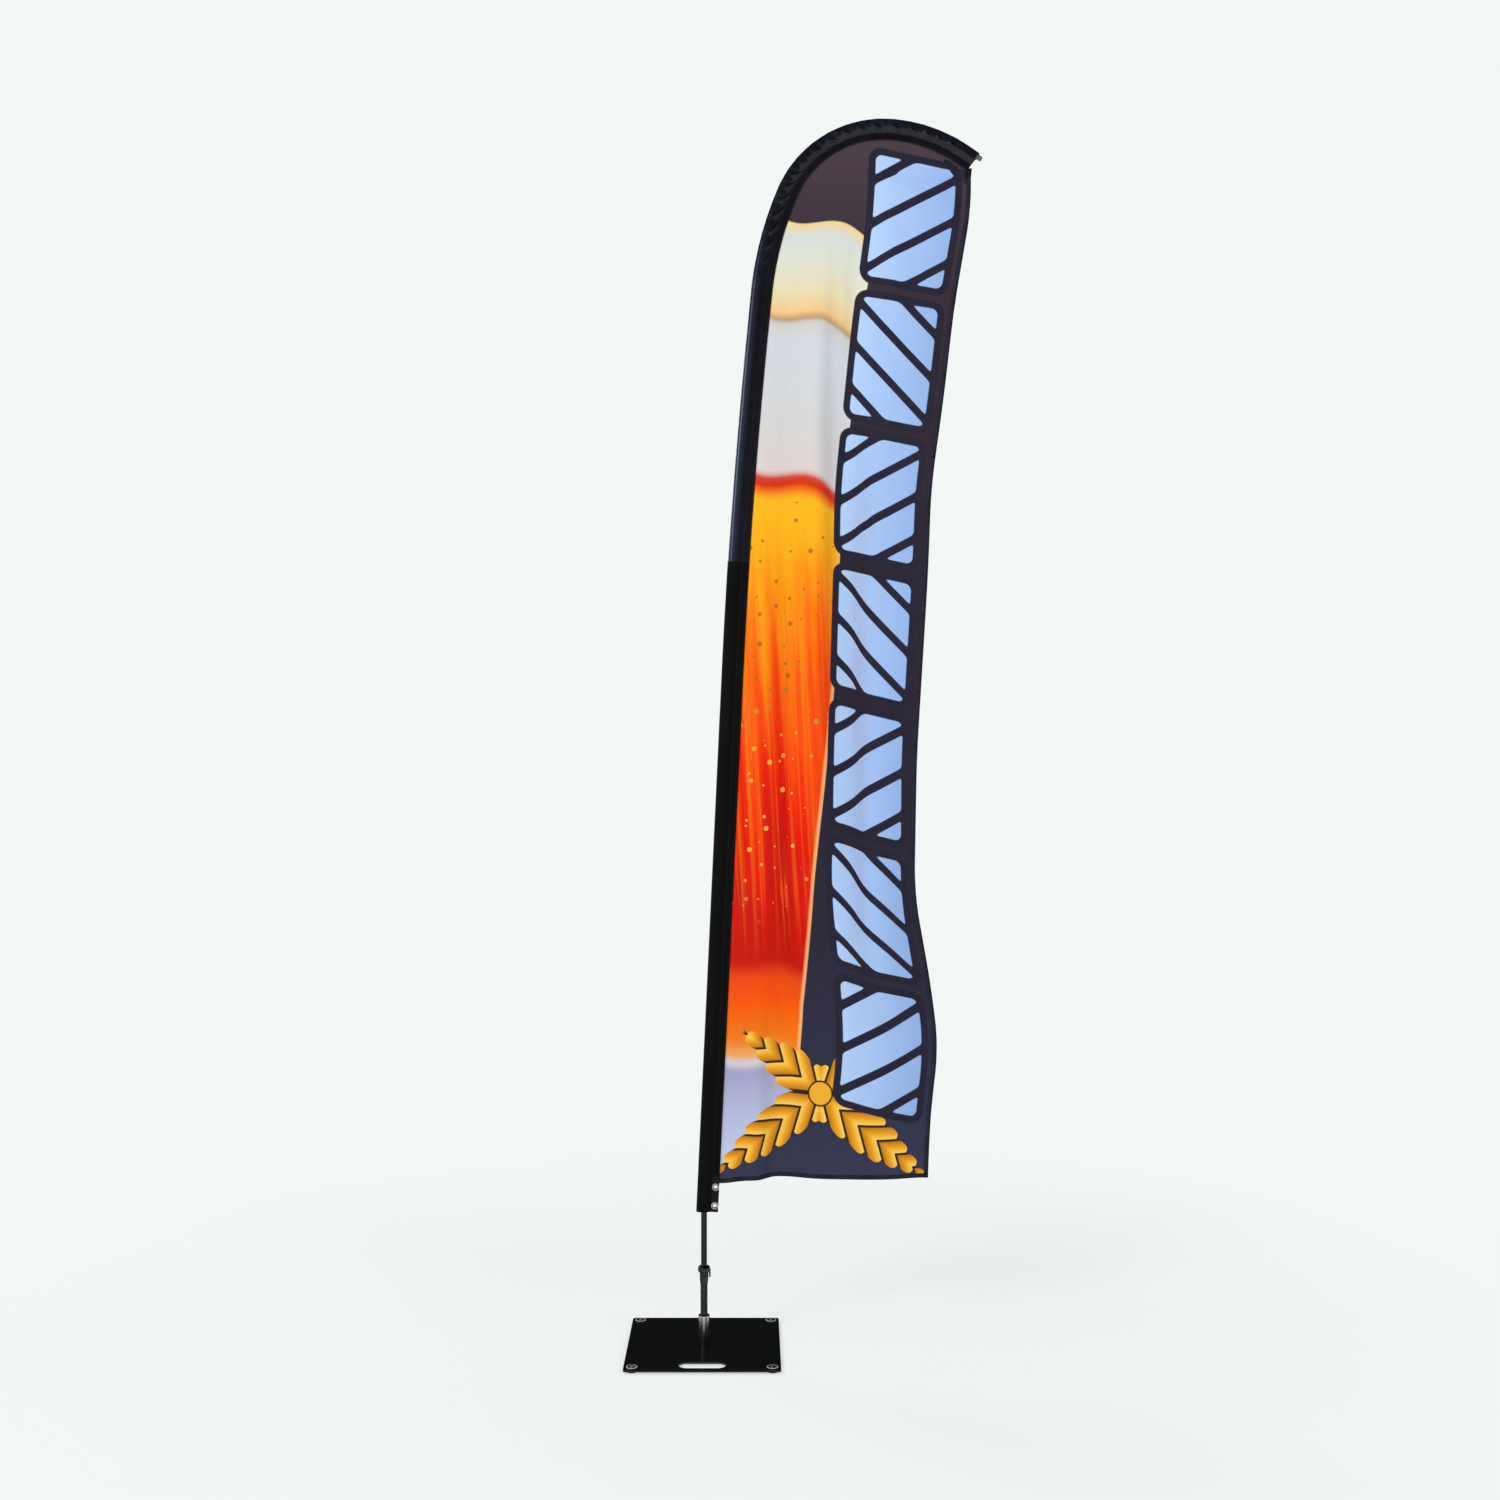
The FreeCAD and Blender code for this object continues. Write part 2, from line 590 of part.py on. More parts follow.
def hook_collar():
    body = turned("hook_collar", [
        ("socket_bore", "socket_top"),
        ("collar_neck_radius", "socket_top"),
        ("collar_neck_radius", "collar_low"),
        ("collar_radius", "collar_low"),
        ("collar_radius", "collar_top"),
        ("socket_bore", "collar_top"),
        ("socket_bore", "ring_level_top"),
        ("grip_ring_radius + fixed_gap", "ring_level_top"),
        ("grip_ring_radius + fixed_gap", "ring_level"),
        ("socket_bore", "ring_level"),
    ])
    turn = body.Tip
    rims = []
    for number, edge in enumerate(body.Shape.Edges, 1):
        curve = edge.Curve
        if isinstance(curve, Part.Circle) and abs(curve.Radius - size("collar_radius")) < 0.01:
            rims.append(f"Edge{number}")
    rounding = body.newObject("PartDesign::Fillet", "CollarRims")
    rounding.Base = (turn, rims)
    rounding.setExpression("Radius", bound("collar_round"))
    doc.recompute()
    hook = body.newObject("PartDesign::AdditiveBox", "Hook")
    for prop, expression in (
        ("Length", "hook_thickness"),
        ("Width", "hook_width"),
        ("Height", "hook_drop + collar_height / 2"),
        ("Placement.Base.x", "hook_reach - hook_thickness"),
        ("Placement.Base.y", "0 - hook_width / 2"),
        ("Placement.Base.z", "collar_low - hook_drop"),
    ):
        hook.setExpression(prop, bound(expression))
    doc.recompute()
    ends = []
    for number, edge in enumerate(body.Shape.Edges, 1):
        box = edge.BoundBox
        if box.XMin > size("hook_reach") - 0.01 and box.YLength < 0.01:
            ends.append(f"Edge{number}")
    softening = body.newObject("PartDesign::Fillet", "HookEdges")
    softening.Base = (hook, ends)
    softening.Radius = 1
    doc.recompute()
    keep(body, "hook_collar")


# ---------------------------------------------------------------- pole


class Track:
    """A chain of straight runs and arcs in the XZ plane, each smooth with the one before."""

    def __init__(self, start, heading, runs):
        self.legs = []
        across, up = start
        travelled = 0.0
        for length, radius in runs:
            self.legs.append((travelled, length, radius, across, up, heading))
            across, up, heading = self.move(across, up, heading, radius, length)
            travelled += length
        self.length = travelled
        self.end = (across, up)

    @staticmethod
    def move(across, up, heading, radius, length):
        if radius is None:
            return (
                across + length * math.sin(heading),
                up + length * math.cos(heading),
                heading,
            )
        turned_by = length / radius
        new = heading + turned_by
        return (
            across + radius * (math.cos(heading) - math.cos(new)),
            up + radius * (math.sin(new) - math.sin(heading)),
            new,
        )

    def at(self, travelled):
        """Place and heading after a length along the track."""
        for start, length, radius, across, up, heading in self.legs:
            if travelled <= start + length + 1e-6:
                return self.move(across, up, heading, radius, travelled - start)
        raise ValueError(travelled)

    def beside(self, travelled, inwards):
        """A point on the flag's side of the track."""
        across, up, heading = self.at(travelled)
        return Vector(across + inwards * math.cos(heading), 0, up - inwards * math.sin(heading))

    def frame(self, travelled):
        """Takes an outline drawn as (thickness, outwards) square across the track."""
        across, up, heading = self.at(travelled)
        sine = math.sin(heading)
        cosine = math.cos(heading)
        return FreeCAD.Placement(FreeCAD.Matrix(
            0, -cosine, sine, across,
            1, 0, 0, 0,
            0, sine, cosine, up,
            0, 0, 0, 1,
        ))

    def sweep(self, face, first, last):
        """The solid a face covers when it travels along part of the track."""
        solids = []
        for start, length, radius, across, up, heading in self.legs:
            low = max(first, start)
            high = min(last, start + length)
            if high - low < 1e-6:
                continue
            moved = face.copy()
            moved.Placement = self.frame(low)
            if radius is None:
                direction = Vector(math.sin(heading), 0, math.cos(heading))
                solids.append(moved.extrude(direction * (high - low)))
                continue
            centre = Vector(
                across + radius * math.cos(heading), 0, up - radius * math.sin(heading)
            )
            degrees = math.degrees((high - low) / radius)
            solids.append(moved.revolve(centre, Vector(0, 1, 0), degrees))
        result = solids[0]
        if len(solids) > 1:
            result = result.multiFuse(solids[1:]).removeSplitter()
        return result


def arc_run(radius, degrees):
    return (radius * math.radians(degrees), radius)


def upper_runs():
    return [
        arc_run(size("slow_bend"), size("slow_turn")),
        arc_run(size("shoulder_bend"), size("shoulder_turn")),
        arc_run(size("crown_bend"), size("crown_turn")),
        arc_run(size("descent_bend"), size("descent_turn")),
        (size("tip_run"), None),
    ]


def pole_track():
    runs = [
        (size("upright_run"), None),
        arc_run(size("lower_bend"), size("lean")),
        (size("straight_run"), None),
    ]
    return Track((0.0, size("pole_foot")), 0.0, runs + upper_runs())


def sleeve_track(pole):
    """The sleeve keeps the pole's leaning line down to its lower end."""
    across, up, heading = pole.legs[2][3:]
    tail = size("sleeve_tail")
    foot = (across - tail * math.sin(heading), up - tail * math.cos(heading))
    track = Track(foot, heading, [(tail + size("straight_run"), None)] + upper_runs())
    track.full = abs(foot[0]) * math.cos(heading) + size("sleeve_slack")
    track.close = track.full + size("sleeve_narrowing")
    track.seam = track.close + size("sleeve_band")
    track.hem_base = foot[1] + size("hem_rise")
    track.flag_reach = track.end[0] - size("corner_inset")
    return track


def ring_face(inner, outer):
    rim = Part.Wire(Part.makeCircle(outer))
    if inner <= 0:
        return Part.Face(rim)
    hole = Part.Wire(Part.makeCircle(inner))
    return Part.Face(rim).cut(Part.Face(hole)).Faces[0]


def shaped(label, shape):
    feature = doc.addObject("Part::Feature", "Shape_" + label)
    feature.Shape = shape
    return keep(feature, label)


def pole_parts(pole):
    plug = size("plug_in")
    joints = [size("lower_joint"), size("middle_joint"), size("upper_joint")]
    tubes = [
        ("lower_pole", size("plug_flange"), joints[0], size("pole_bore"), size("pole_radius")),
        ("middle_pole", joints[0] - plug, joints[1], size("middle_bore"), size("middle_radius")),
        ("upper_pole", joints[1] - plug, joints[2], size("upper_bore"), size("upper_radius")),
        ("tip_rod", joints[2] - plug, pole.length - 3, 0, size("tip_radius")),
    ]
    for label, first, last, inner, outer in tubes:
        shaped(label, pole.sweep(ring_face(inner, outer), first, last))
    for (label, first, last, inner, outer), name in zip(
        tubes, ("lower_ferrule", "middle_ferrule", "upper_ferrule")
    ):
        bore = outer + size("fixed_gap")
        face = ring_face(bore, bore + size("ferrule_wall"))
        shaped(name, pole.sweep(face, last - size("ferrule_length"), last))
    keep(turned("pole_end_plug", [
        ("0", "pole_foot"),
        ("pole_radius", "pole_foot"),
        ("pole_radius", "pole_foot + plug_flange"),
        ("pole_bore - fixed_gap", "pole_foot + plug_flange"),
        ("pole_bore - fixed_gap", "pole_foot + plug_depth"),
        ("0", "pole_foot + plug_depth"),
    ]), "pole_end_plug")
    cap = turned("tip_cap", [
        ("tip_radius + running_gap", "0 - tip_cap_depth"),
        ("tip_cap_radius", "0 - tip_cap_depth"),
        ("tip_cap_radius", "0"),
        ("sleeve_nose - 0.5", "0"),
        ("sleeve_nose - 0.5", "2"),
        ("tip_cap_radius", "3"),
        ("tip_cap_radius", "tip_cap_length - 2.5"),
        ("tip_cap_radius - 2.5", "tip_cap_length"),
        ("0", "tip_cap_length"),
        ("0", "sleeve_short - 2"),
        ("tip_radius + running_gap", "sleeve_short - 2"),
    ])
    cap.Placement = pole.frame(pole.length - size("sleeve_short"))
    keep(cap, "tip_cap")


# ---------------------------------------------------------------- cloth


def outline_face(points):
    return Part.Face(Part.makePolygon(points + [points[0]]))


def sleeve_face(sleeve):
    """The sleeve cut across: round the pole, then two layers sewn flat together."""
    nose = size("sleeve_nose")
    full = sleeve.full
    close = sleeve.close
    seam = sleeve.seam
    cloth = size("cloth")
    left = Vector(-nose, 0, 0)
    right = Vector(nose, 0, 0)
    outside = Part.Wire([
        Part.Arc(left, Vector(0, nose, 0), right).toShape(),
        Part.makePolygon([
            right, Vector(nose, -full, 0), Vector(cloth, -close, 0), Vector(cloth, -seam, 0),
            Vector(-cloth, -seam, 0), Vector(-cloth, -close, 0), Vector(-nose, -full, 0), left,
        ]),
    ])
    room = nose - cloth
    hollow = Part.Wire([
        Part.Arc(Vector(-room, 0, 0), Vector(0, room, 0), Vector(room, 0, 0)).toShape(),
        Part.makePolygon([
            Vector(room, 0, 0), Vector(room, 0.3 - full, 0), Vector(0, 1.6 - close, 0),
            Vector(-room, 0.3 - full, 0), Vector(-room, 0, 0),
        ]),
    ])
    return Part.Face(outside).cut(Part.Face(hollow)).Faces[0]


def eyelet_places(sleeve):
    line = sleeve.seam - size("eyelet_inset")
    return [
        ("lower_eyelet", sleeve.beside(size("lower_eyelet_rise"), line)),
        ("upper_eyelet", sleeve.beside(size("upper_eyelet_rise"), line)),
    ]


def without_eyelets(shape, sleeve):
    for _, place in eyelet_places(sleeve):
        hole = Part.makeCylinder(
            size("eyelet_barrel") + size("fixed_gap"), 20, place - Vector(0, 10, 0), Vector(0, 1, 0)
        )
        shape = shape.cut(hole)
    return shape


def sleeve_parts(sleeve):
    face = sleeve_face(sleeve)
    split = size("sleeve_lower_length")
    lower = sleeve.sweep(face, 0, split)
    shaped("sleeve_lower", without_eyelets(lower, sleeve))
    shaped("sleeve_upper", sleeve.sweep(face, split, sleeve.length - size("sleeve_short")))
    cloth = size("cloth")
    gap = size("fixed_gap")
    seam = sleeve.seam
    deep = seam + 1 - size("tail_patch_depth")
    patch = outline_face([
        Vector(-2 * cloth, -deep, 0), Vector(-2 * cloth, -seam - 1, 0),
        Vector(2 * cloth, -seam - 1, 0), Vector(2 * cloth, -deep, 0),
        Vector(cloth + gap, -deep, 0), Vector(cloth + gap, -seam - gap, 0),
        Vector(-cloth - gap, -seam - gap, 0), Vector(-cloth - gap, -deep, 0),
    ])
    start = size("tail_patch_start")
    solid = sleeve.sweep(patch, start, start + size("tail_patch_length"))
    shaped("sleeve_tail_patch", without_eyelets(solid, sleeve))


def eyelet(label, place):
    body = turned(label, [
        ("eyelet_bore", "0 - eyelet_face"),
        ("eyelet_rim - 0.4", "0 - eyelet_face"),
        ("eyelet_rim", "0.4 - eyelet_face"),
        ("eyelet_rim", "0 - patch_face"),
        ("eyelet_barrel", "0 - patch_face"),
        ("eyelet_barrel", "patch_face"),
        ("eyelet_rim", "patch_face"),
        ("eyelet_rim", "eyelet_face - 0.4"),
        ("eyelet_rim - 0.4", "eyelet_face"),
        ("eyelet_bore", "eyelet_face"),
    ])
    body.Placement = FreeCAD.Placement(place, FreeCAD.Rotation(Vector(1, 0, 0), -90))
    keep(body, label)


def smooth(low, high, value):
    share = min(1.0, max(0.0, (value - low) / (high - low)))
    return share * share * (3 - 2 * share)


# The flag's folds: the height where they are deepest and how far they spread from it, both
# as shares of the flag's height, where they fade out below the crown, and how far a fold
# moves across, in radians, from the flag's lower edge to its top.
WAVE_MIDDLE = 0.30
WAVE_SPREAD = 0.30
WAVE_FADE = (0.74, 0.90)
WAVE_DRIFT = 2.2


def wave(across, up, sleeve, top):
    """How far the hanging cloth stands out of the flag's plane."""
    travelled = min(max(up - sleeve.legs[0][4], 0), 0.5 * sleeve.length)
    seam = sleeve.beside(travelled, sleeve.seam).x
    share = (up - sleeve.hem_base) / (top - sleeve.hem_base)
    depth = size("wave_depth") * math.exp(-((share - WAVE_MIDDLE) / WAVE_SPREAD) ** 2)
    depth += size("wave_least")
    depth *= smooth(seam, seam + size("wave_start"), across) * (1 - smooth(*WAVE_FADE, share))
    turn = 2 * math.pi * (across - seam) / size("wave_length")
    return depth * math.sin(turn - WAVE_DRIFT * share)


# The grid of points that the folded cloth's surface goes through, and how far that surface
# reaches beyond the flag: behind and in front of it, below it and above its upper corner.
SLAB_COLUMNS = 22
SLAB_ROWS = 34
SLAB_MARGINS = {"behind": 20, "front": 60, "below": 40, "above": 80}
THROUGH = 400  # depth of the shapes that cut the surface to the flag's outline


def wavy_slab(sleeve, top, behind, thickness):
    left = -SLAB_MARGINS["behind"]
    right = sleeve.flag_reach + SLAB_MARGINS["front"]
    low = sleeve.hem_base - SLAB_MARGINS["below"]
    high = top + SLAB_MARGINS["above"]
    grid = []
    for column in range(SLAB_COLUMNS):
        across = left + column * (right - left) / (SLAB_COLUMNS - 1)
        line = []
        for row in range(SLAB_ROWS):
            up = low + row * (high - low) / (SLAB_ROWS - 1)
            line.append(Vector(across, wave(across, up, sleeve, top) + behind, up))
        grid.append(line)
    surface = Part.BSplineSurface()
    surface.interpolate(grid)
    return surface.toShape().extrude(Vector(0, thickness, 0))


def free_edge_points(sleeve, top, inset):
    base = sleeve.hem_base + size("corner_rise")
    return [
        Vector(reach * sleeve.flag_reach - inset, -THROUGH / 2, base + share * (top - base))
        for share, reach in FREE_EDGE
    ]


def seam_edges(sleeve, first, last, inwards, shift):
    """The sleeve's sewn edge as exact edges, moved along Y."""
    edges = []
    for start, length, radius, _, _, _ in sleeve.legs:
        low = max(first, start)
        high = min(last, start + length)
        if high - low < 1e-6:
            continue
        ends = [sleeve.beside(low, inwards) + shift, sleeve.beside(high, inwards) + shift]
        if radius is None:
            edges.append(Part.LineSegment(ends[0], ends[1]).toShape())
            continue
        middle = sleeve.beside((low + high) / 2, inwards) + shift
        edges.append(Part.Arc(ends[0], middle, ends[1]).toShape())
    return edges


def curve_edge(points):
    curve = Part.BSplineCurve()
    curve.interpolate(points)
    return curve.toShape()


def prism(edges):
    return Part.Face(Part.Wire(Part.__sortEdges__(edges))).extrude(Vector(0, THROUGH, 0))


def flag_parts(sleeve):
    shift = Vector(0, -THROUGH / 2, 0)
    inwards = sleeve.seam - 1
    hem = size("hem_width")
    cloth = size("cloth")
    first = (sleeve.hem_base - sleeve.legs[0][4]) / math.cos(sleeve.legs[0][5])
    short = size("corner_short")
    last = sleeve.length - short
    corner = sleeve.beside(last, inwards) + shift
    top = corner.z
    free = free_edge_points(sleeve, top, 0)
    free[-1] = corner
    inner = free_edge_points(sleeve, top, hem)
    inner[-1] = corner + Vector(-hem, 0, 0)
    low = sleeve.beside(first, inwards) + shift
    low_mid = Vector((low.x + free[0].x) / 2, low.y, sleeve.hem_base + size("middle_rise"))
    seam = seam_edges(sleeve, first, last, inwards, shift)
    everything = prism(
        seam + [curve_edge(free), curve_edge([low, low_mid, free[0]])]
    )
    side_strip = prism([
        curve_edge(free),
        curve_edge(inner),
        Part.LineSegment(free[0], inner[0]).toShape(),
        Part.LineSegment(free[-1], inner[-1]).toShape(),
    ])
    rise = Vector(0, 0, hem)
    bottom_strip = prism([
        curve_edge([low, low_mid, free[0]]),
        curve_edge([low + rise, low_mid + rise, free[0] + rise]),
        Part.LineSegment(low, low + rise).toShape(),
        Part.LineSegment(free[0], free[0] + rise).toShape(),
    ])
    thin = wavy_slab(sleeve, top, -cloth / 2, cloth)
    thick = wavy_slab(sleeve, top, -cloth, 2 * cloth)
    side = size("tip_patch_side")
    patch_prism = outline_face([
        corner + Vector(-side, 0, -side), corner + Vector(short, 0, -side),
        corner + Vector(short, 0, side), corner + Vector(-side, 0, side),
    ]).extrude(Vector(0, THROUGH, 0))
    shaped("free_edge_hem", thick.common(side_strip))
    bottom_hem = thick.common(bottom_strip).cut(side_strip)
    shaped("bottom_hem", max(bottom_hem.Solids, key=lambda solid: solid.Volume))
    panel = thin.common(everything).cut(side_strip).cut(bottom_strip)
    shaped("flag_panel", panel)
    cover = wavy_slab(sleeve, top, -cloth / 2 - cloth, cloth)
    shaped("tip_patch", cover.common(everything).common(patch_prism).cut(side_strip))


def tip_strap(sleeve):
    """A short webbing loop sewn to the flag's upper corner."""
    corner = sleeve.beside(sleeve.length - size("corner_short"), sleeve.seam - 1)
    width, thickness, length = size("strap_width"), size("strap_thickness"), size("strap_length")
    lowest = corner + Vector(-width / 3, -size("strap_offset"), size("strap_above") - length)
    strap = Part.makeBox(width, thickness, length, lowest)
    shaped("tip_strap", strap)


def build():
    fill_sheet()
    base_plate()
    for name, (across, deep) in zip(
        ("front_left", "front_right", "back_right", "back_left"), CORNERS
    ):
        rubber_foot("rubber_foot_" + name, across, deep)
    at_four_corners("foot_cup_washers", cup_washer)
    at_four_corners("foot_screws", foot_screw)
    at_four_corners("foot_nuts", foot_nut)
    spindle_bolt()
    bearing_housing()
    bearing_cap()
    ring("dust_seal", "tube_radius + running_gap", "seal_radius", "seal_level", "cap_top")
    outer = ("outer_race", "bearing_radius")
    inner = ("shaft_radius + fixed_gap", "inner_race")
    ring("lower_bearing_outer_ring", *outer, "lower_bearing", "lower_bearing_top")
    ring("upper_bearing_outer_ring", *outer, "upper_bearing", "upper_bearing_top")
    ring("outer_spacer", "outer_race + race_margin", "bearing_radius", "lower_bearing_top", "upper_bearing")
    bearing_balls("lower_bearing_balls", "lower_bearing")
    bearing_balls("upper_bearing_balls", "upper_bearing")
    ring("lower_bearing_inner_ring", *inner, "lower_bearing", "lower_bearing_top")
    ring("upper_bearing_inner_ring", *inner, "upper_bearing", "upper_bearing_top")
    ring(
        "inner_spacer", "shaft_radius + fixed_gap", "inner_race - race_margin",
        "lower_bearing_top", "upper_bearing",
    )
    ring(
        "retaining_ring", "shaft_radius - ring_groove_depth + fixed_gap", "inner_race",
        "lower_bearing - retaining_ring", "lower_bearing",
    )
    spindle_shaft()
    spindle_tube()
    pole_socket()
    hook_collar()
    ring(
        "pole_grip_ring", "pole_radius + running_gap", "grip_ring_radius",
        "ring_level", "ring_level_top",
    )
    pole = pole_track()
    sleeve = sleeve_track(pole)
    pole_parts(pole)
    sleeve_parts(sleeve)
    for label, place in eyelet_places(sleeve):
        eyelet(label, place)
    flag_parts(sleeve)
    tip_strap(sleeve)
    doc.recompute()


def check_and_write():
    for thing in doc.Objects:
        for word in thing.State:
            if word in ("Invalid", "Error"):
                raise RuntimeError(f"{thing.Name} is {word}")
    os.makedirs("parts", exist_ok=True)
    for node in nodes:
        shape = node.Shape
        if shape.isNull() or not shape.isValid() or not shape.Solids:
            raise RuntimeError(f"{node.Label} has no valid solid")
        shape.exportStep(f"parts/{node.Label}.step")
        box = shape.BoundBox
        print(
            f"{node.Label:28s} {len(shape.Solids)} solid(s) "
            f"x {box.XMin:8.1f} {box.XMax:8.1f}  y {box.YMin:7.1f} {box.YMax:7.1f}  "
            f"z {box.ZMin:8.1f} {box.ZMax:8.1f}"
        )


build()
check_and_write()
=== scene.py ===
import math
import bmesh
import bpy
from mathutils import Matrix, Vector, noise


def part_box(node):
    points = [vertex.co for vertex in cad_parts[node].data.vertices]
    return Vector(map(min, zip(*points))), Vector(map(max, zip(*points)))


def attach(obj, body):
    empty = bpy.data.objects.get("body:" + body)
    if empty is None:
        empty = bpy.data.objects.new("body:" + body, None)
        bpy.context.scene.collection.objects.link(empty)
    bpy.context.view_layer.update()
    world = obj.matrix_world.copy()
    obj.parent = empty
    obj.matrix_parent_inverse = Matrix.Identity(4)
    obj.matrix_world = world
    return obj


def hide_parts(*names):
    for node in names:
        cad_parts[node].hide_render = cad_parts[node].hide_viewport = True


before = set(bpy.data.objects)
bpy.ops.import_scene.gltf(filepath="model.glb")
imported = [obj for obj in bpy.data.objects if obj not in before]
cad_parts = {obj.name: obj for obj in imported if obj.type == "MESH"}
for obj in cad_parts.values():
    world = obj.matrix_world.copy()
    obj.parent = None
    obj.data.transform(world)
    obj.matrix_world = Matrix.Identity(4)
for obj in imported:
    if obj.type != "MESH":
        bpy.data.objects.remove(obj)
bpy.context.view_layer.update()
scene = bpy.context.scene


# ---- Base plate ---------------------------------------------------------------------------
# A square of 5 mm steel plate, cut with a carrying slot, and powder coated gloss black.
# The oven-cured powder flows into a faint orange peel, and dulls where hands and shoes rub it.

MM = 0.001


def linear(code):
    """An sRGB hex colour as the linear colour that a shader takes."""
    shades = [int(code[i:i + 2], 16) / 255 for i in (1, 3, 5)]
    return (*[c / 12.92 if c <= 0.04045 else ((c + 0.055) / 1.055) ** 2.4 for c in shades], 1)


def add(tree, kind, *inputs, **settings):
    """Adds one node: its settings by name, and a value, a node or a socket for each input."""
    node = tree.nodes.new(kind)
    for name, value in settings.items():
        setattr(node, name, value)
    for socket, value in zip(node.inputs, inputs):
        if isinstance(value, bpy.types.Node):
            value = value.outputs[0]
        if isinstance(value, bpy.types.NodeSocket):
            tree.links.new(value, socket)
        elif value is not None:
            socket.default_value = value
    return node


def maths(tree, operation, *inputs):
    """Adds a node that works one number out of others."""
    return add(tree, "ShaderNodeMath", *inputs, operation=operation)


def surface(name, code, roughness, metallic=0.0, **sockets):
    """A material, with what is the same all over it set on the shader's own sockets."""
    made = bpy.data.materials.new(name)
    made.use_nodes = True
    shader = made.node_tree.nodes["Principled BSDF"]
    shader.inputs["Base Color"].default_value = linear(code)
    shader.inputs["Roughness"].default_value = roughness
    shader.inputs["Metallic"].default_value = metallic
    for socket, value in sockets.items():
        shader.inputs[socket.replace("_", " ")].default_value = value
    made.diffuse_color = linear(code)
    return made


def feed(made, **sources):
    """Links nodes or sockets into the material's shader, by the names of its sockets."""
    shader = made.node_tree.nodes["Principled BSDF"]
    for socket, source in sources.items():
        output = source.outputs[0] if isinstance(source, bpy.types.Node) else source
        made.node_tree.links.new(output, shader.inputs[socket.replace("_", " ")])


def weathered(made, clean, worn, grain, relief, dull, squeeze=(1, 1, 1), cloud=9):
    """Grain in relief, and cloudy wear that shifts the colour and the roughness.

    grain and relief are the grain's width and depth in mm, dull the roughness of clean and
    of worn places, squeeze what packs the grain along X, Y and Z, and cloud the patches of
    wear in a metre."""
    tree = made.node_tree
    place = add(tree, "ShaderNodeTexCoord").outputs["Object"]
    packed = add(tree, "ShaderNodeMapping", place, None, None, Vector(squeeze))
    fine = add(tree, "ShaderNodeTexNoise", packed, None, 1 / (grain * MM), 3.0, 0.6)
    patches = add(tree, "ShaderNodeTexNoise", place, None, cloud, 5.0, 0.65)
    wear = add(tree, "ShaderNodeMapRange", patches, 0.42, 0.74, 0.0, 1.0)
    feed(made,
         Base_Color=add(tree, "ShaderNodeMixRGB", wear, linear(clean), linear(worn)),
         Roughness=add(tree, "ShaderNodeMapRange", wear, 0.0, 1.0, *dull),
         Normal=add(tree, "ShaderNodeBump", 0.6, relief * MM, None, fine.outputs[0]))


def dress(made, *nodes):
    """Gives CAD nodes a material, and leaves their shape alone."""
    for name in nodes:
        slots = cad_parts[name].data.materials
        slots.clear()
        slots.append(made)


powder_coat = surface("gloss black powder coat on steel", "#080808", 0.12,
                      Specular_IOR_Level=0.36)
weathered(powder_coat, "#070707", "#0d0d0e", 1.6, 0.010, (0.08, 0.18), cloud=6)
dress(powder_coat, "base_plate")


# ---- Feet and their fixings ---------------------------------------------------------------
# Four moulded rubber feet under the corners. Each is held by a zinc-plated screw that sits
# in a cup washer of black nylon, with a painted highlight on its rolled rim, and by a nut beneath.

FIXING = 0.178           # from the plate's middle to a fixing, along each side
RIM_HIGHLIGHT_RADIUS = 0.0132         # radius of the painted highlight on the cup's rim
RIM_FADE = (0.0013, 0.0007)      # either side of that radius, where the painted highlight starts, ends

foot_rubber = surface("moulded black rubber", "#161616", 0.8, Specular_IOR_Level=0.35)
weathered(foot_rubber, "#141414", "#26241f", 0.5, 0.06, (0.72, 0.9), cloud=60)
dress(foot_rubber, "rubber_foot_front_left", "rubber_foot_front_right",
      "rubber_foot_back_right", "rubber_foot_back_left")

cup_nylon = surface("black nylon cup washer with a painted rim highlight", "#101010", 0.35)
tree = cup_nylon.node_tree
place = add(tree, "ShaderNodeTexCoord").outputs["Object"]
folded = add(tree, "ShaderNodeVectorMath", place, operation="ABSOLUTE")
from_screw = add(tree, "ShaderNodeVectorMath", folded, Vector((FIXING, FIXING, 0)),
                 operation="SUBTRACT")
flat = add(tree, "ShaderNodeVectorMath", from_screw, Vector((1, 1, 0)), operation="MULTIPLY")
reach = add(tree, "ShaderNodeVectorMath", flat, operation="LENGTH").outputs["Value"]
off_rim = maths(tree, "ABSOLUTE", maths(tree, "SUBTRACT", reach, RIM_HIGHLIGHT_RADIUS))
washer_speckle = add(tree, "ShaderNodeTexNoise", place, None, 420.0, 3.0, 0.7)
# rim is a painted highlight: a pale ring in the base colour along the cup's rolled rim, broken up
# by noise.
rim = maths(tree, "MULTIPLY", add(tree, "ShaderNodeMapRange", off_rim, *RIM_FADE, 0.0, 1.0),
            add(tree, "ShaderNodeMapRange", washer_speckle, 0.3, 0.5, 0.35, 1.0))
feed(cup_nylon,
     Base_Color=add(tree, "ShaderNodeMixRGB", rim, linear("#0c0c0d"), linear("#f2f2f0")),
     Metallic=add(tree, "ShaderNodeMapRange", rim, 0.0, 1.0, 0.0, 0.25),
     Roughness=add(tree, "ShaderNodeMapRange", rim, 0.0, 1.0, 0.38, 0.22),
     Normal=add(tree, "ShaderNodeBump", 0.4, 0.05 * MM, None, washer_speckle.outputs[0]))
dress(cup_nylon, "foot_cup_washers")

zinc = surface("zinc-plated steel", "#c9ccd1", 0.3, 1.0)
weathered(zinc, "#dfe1e4", "#b9b7ae", 0.3, 0.01, (0.4, 0.58), cloud=220)
dress(zinc, "foot_screws", "foot_nuts", "spindle_bolt", "retaining_ring")


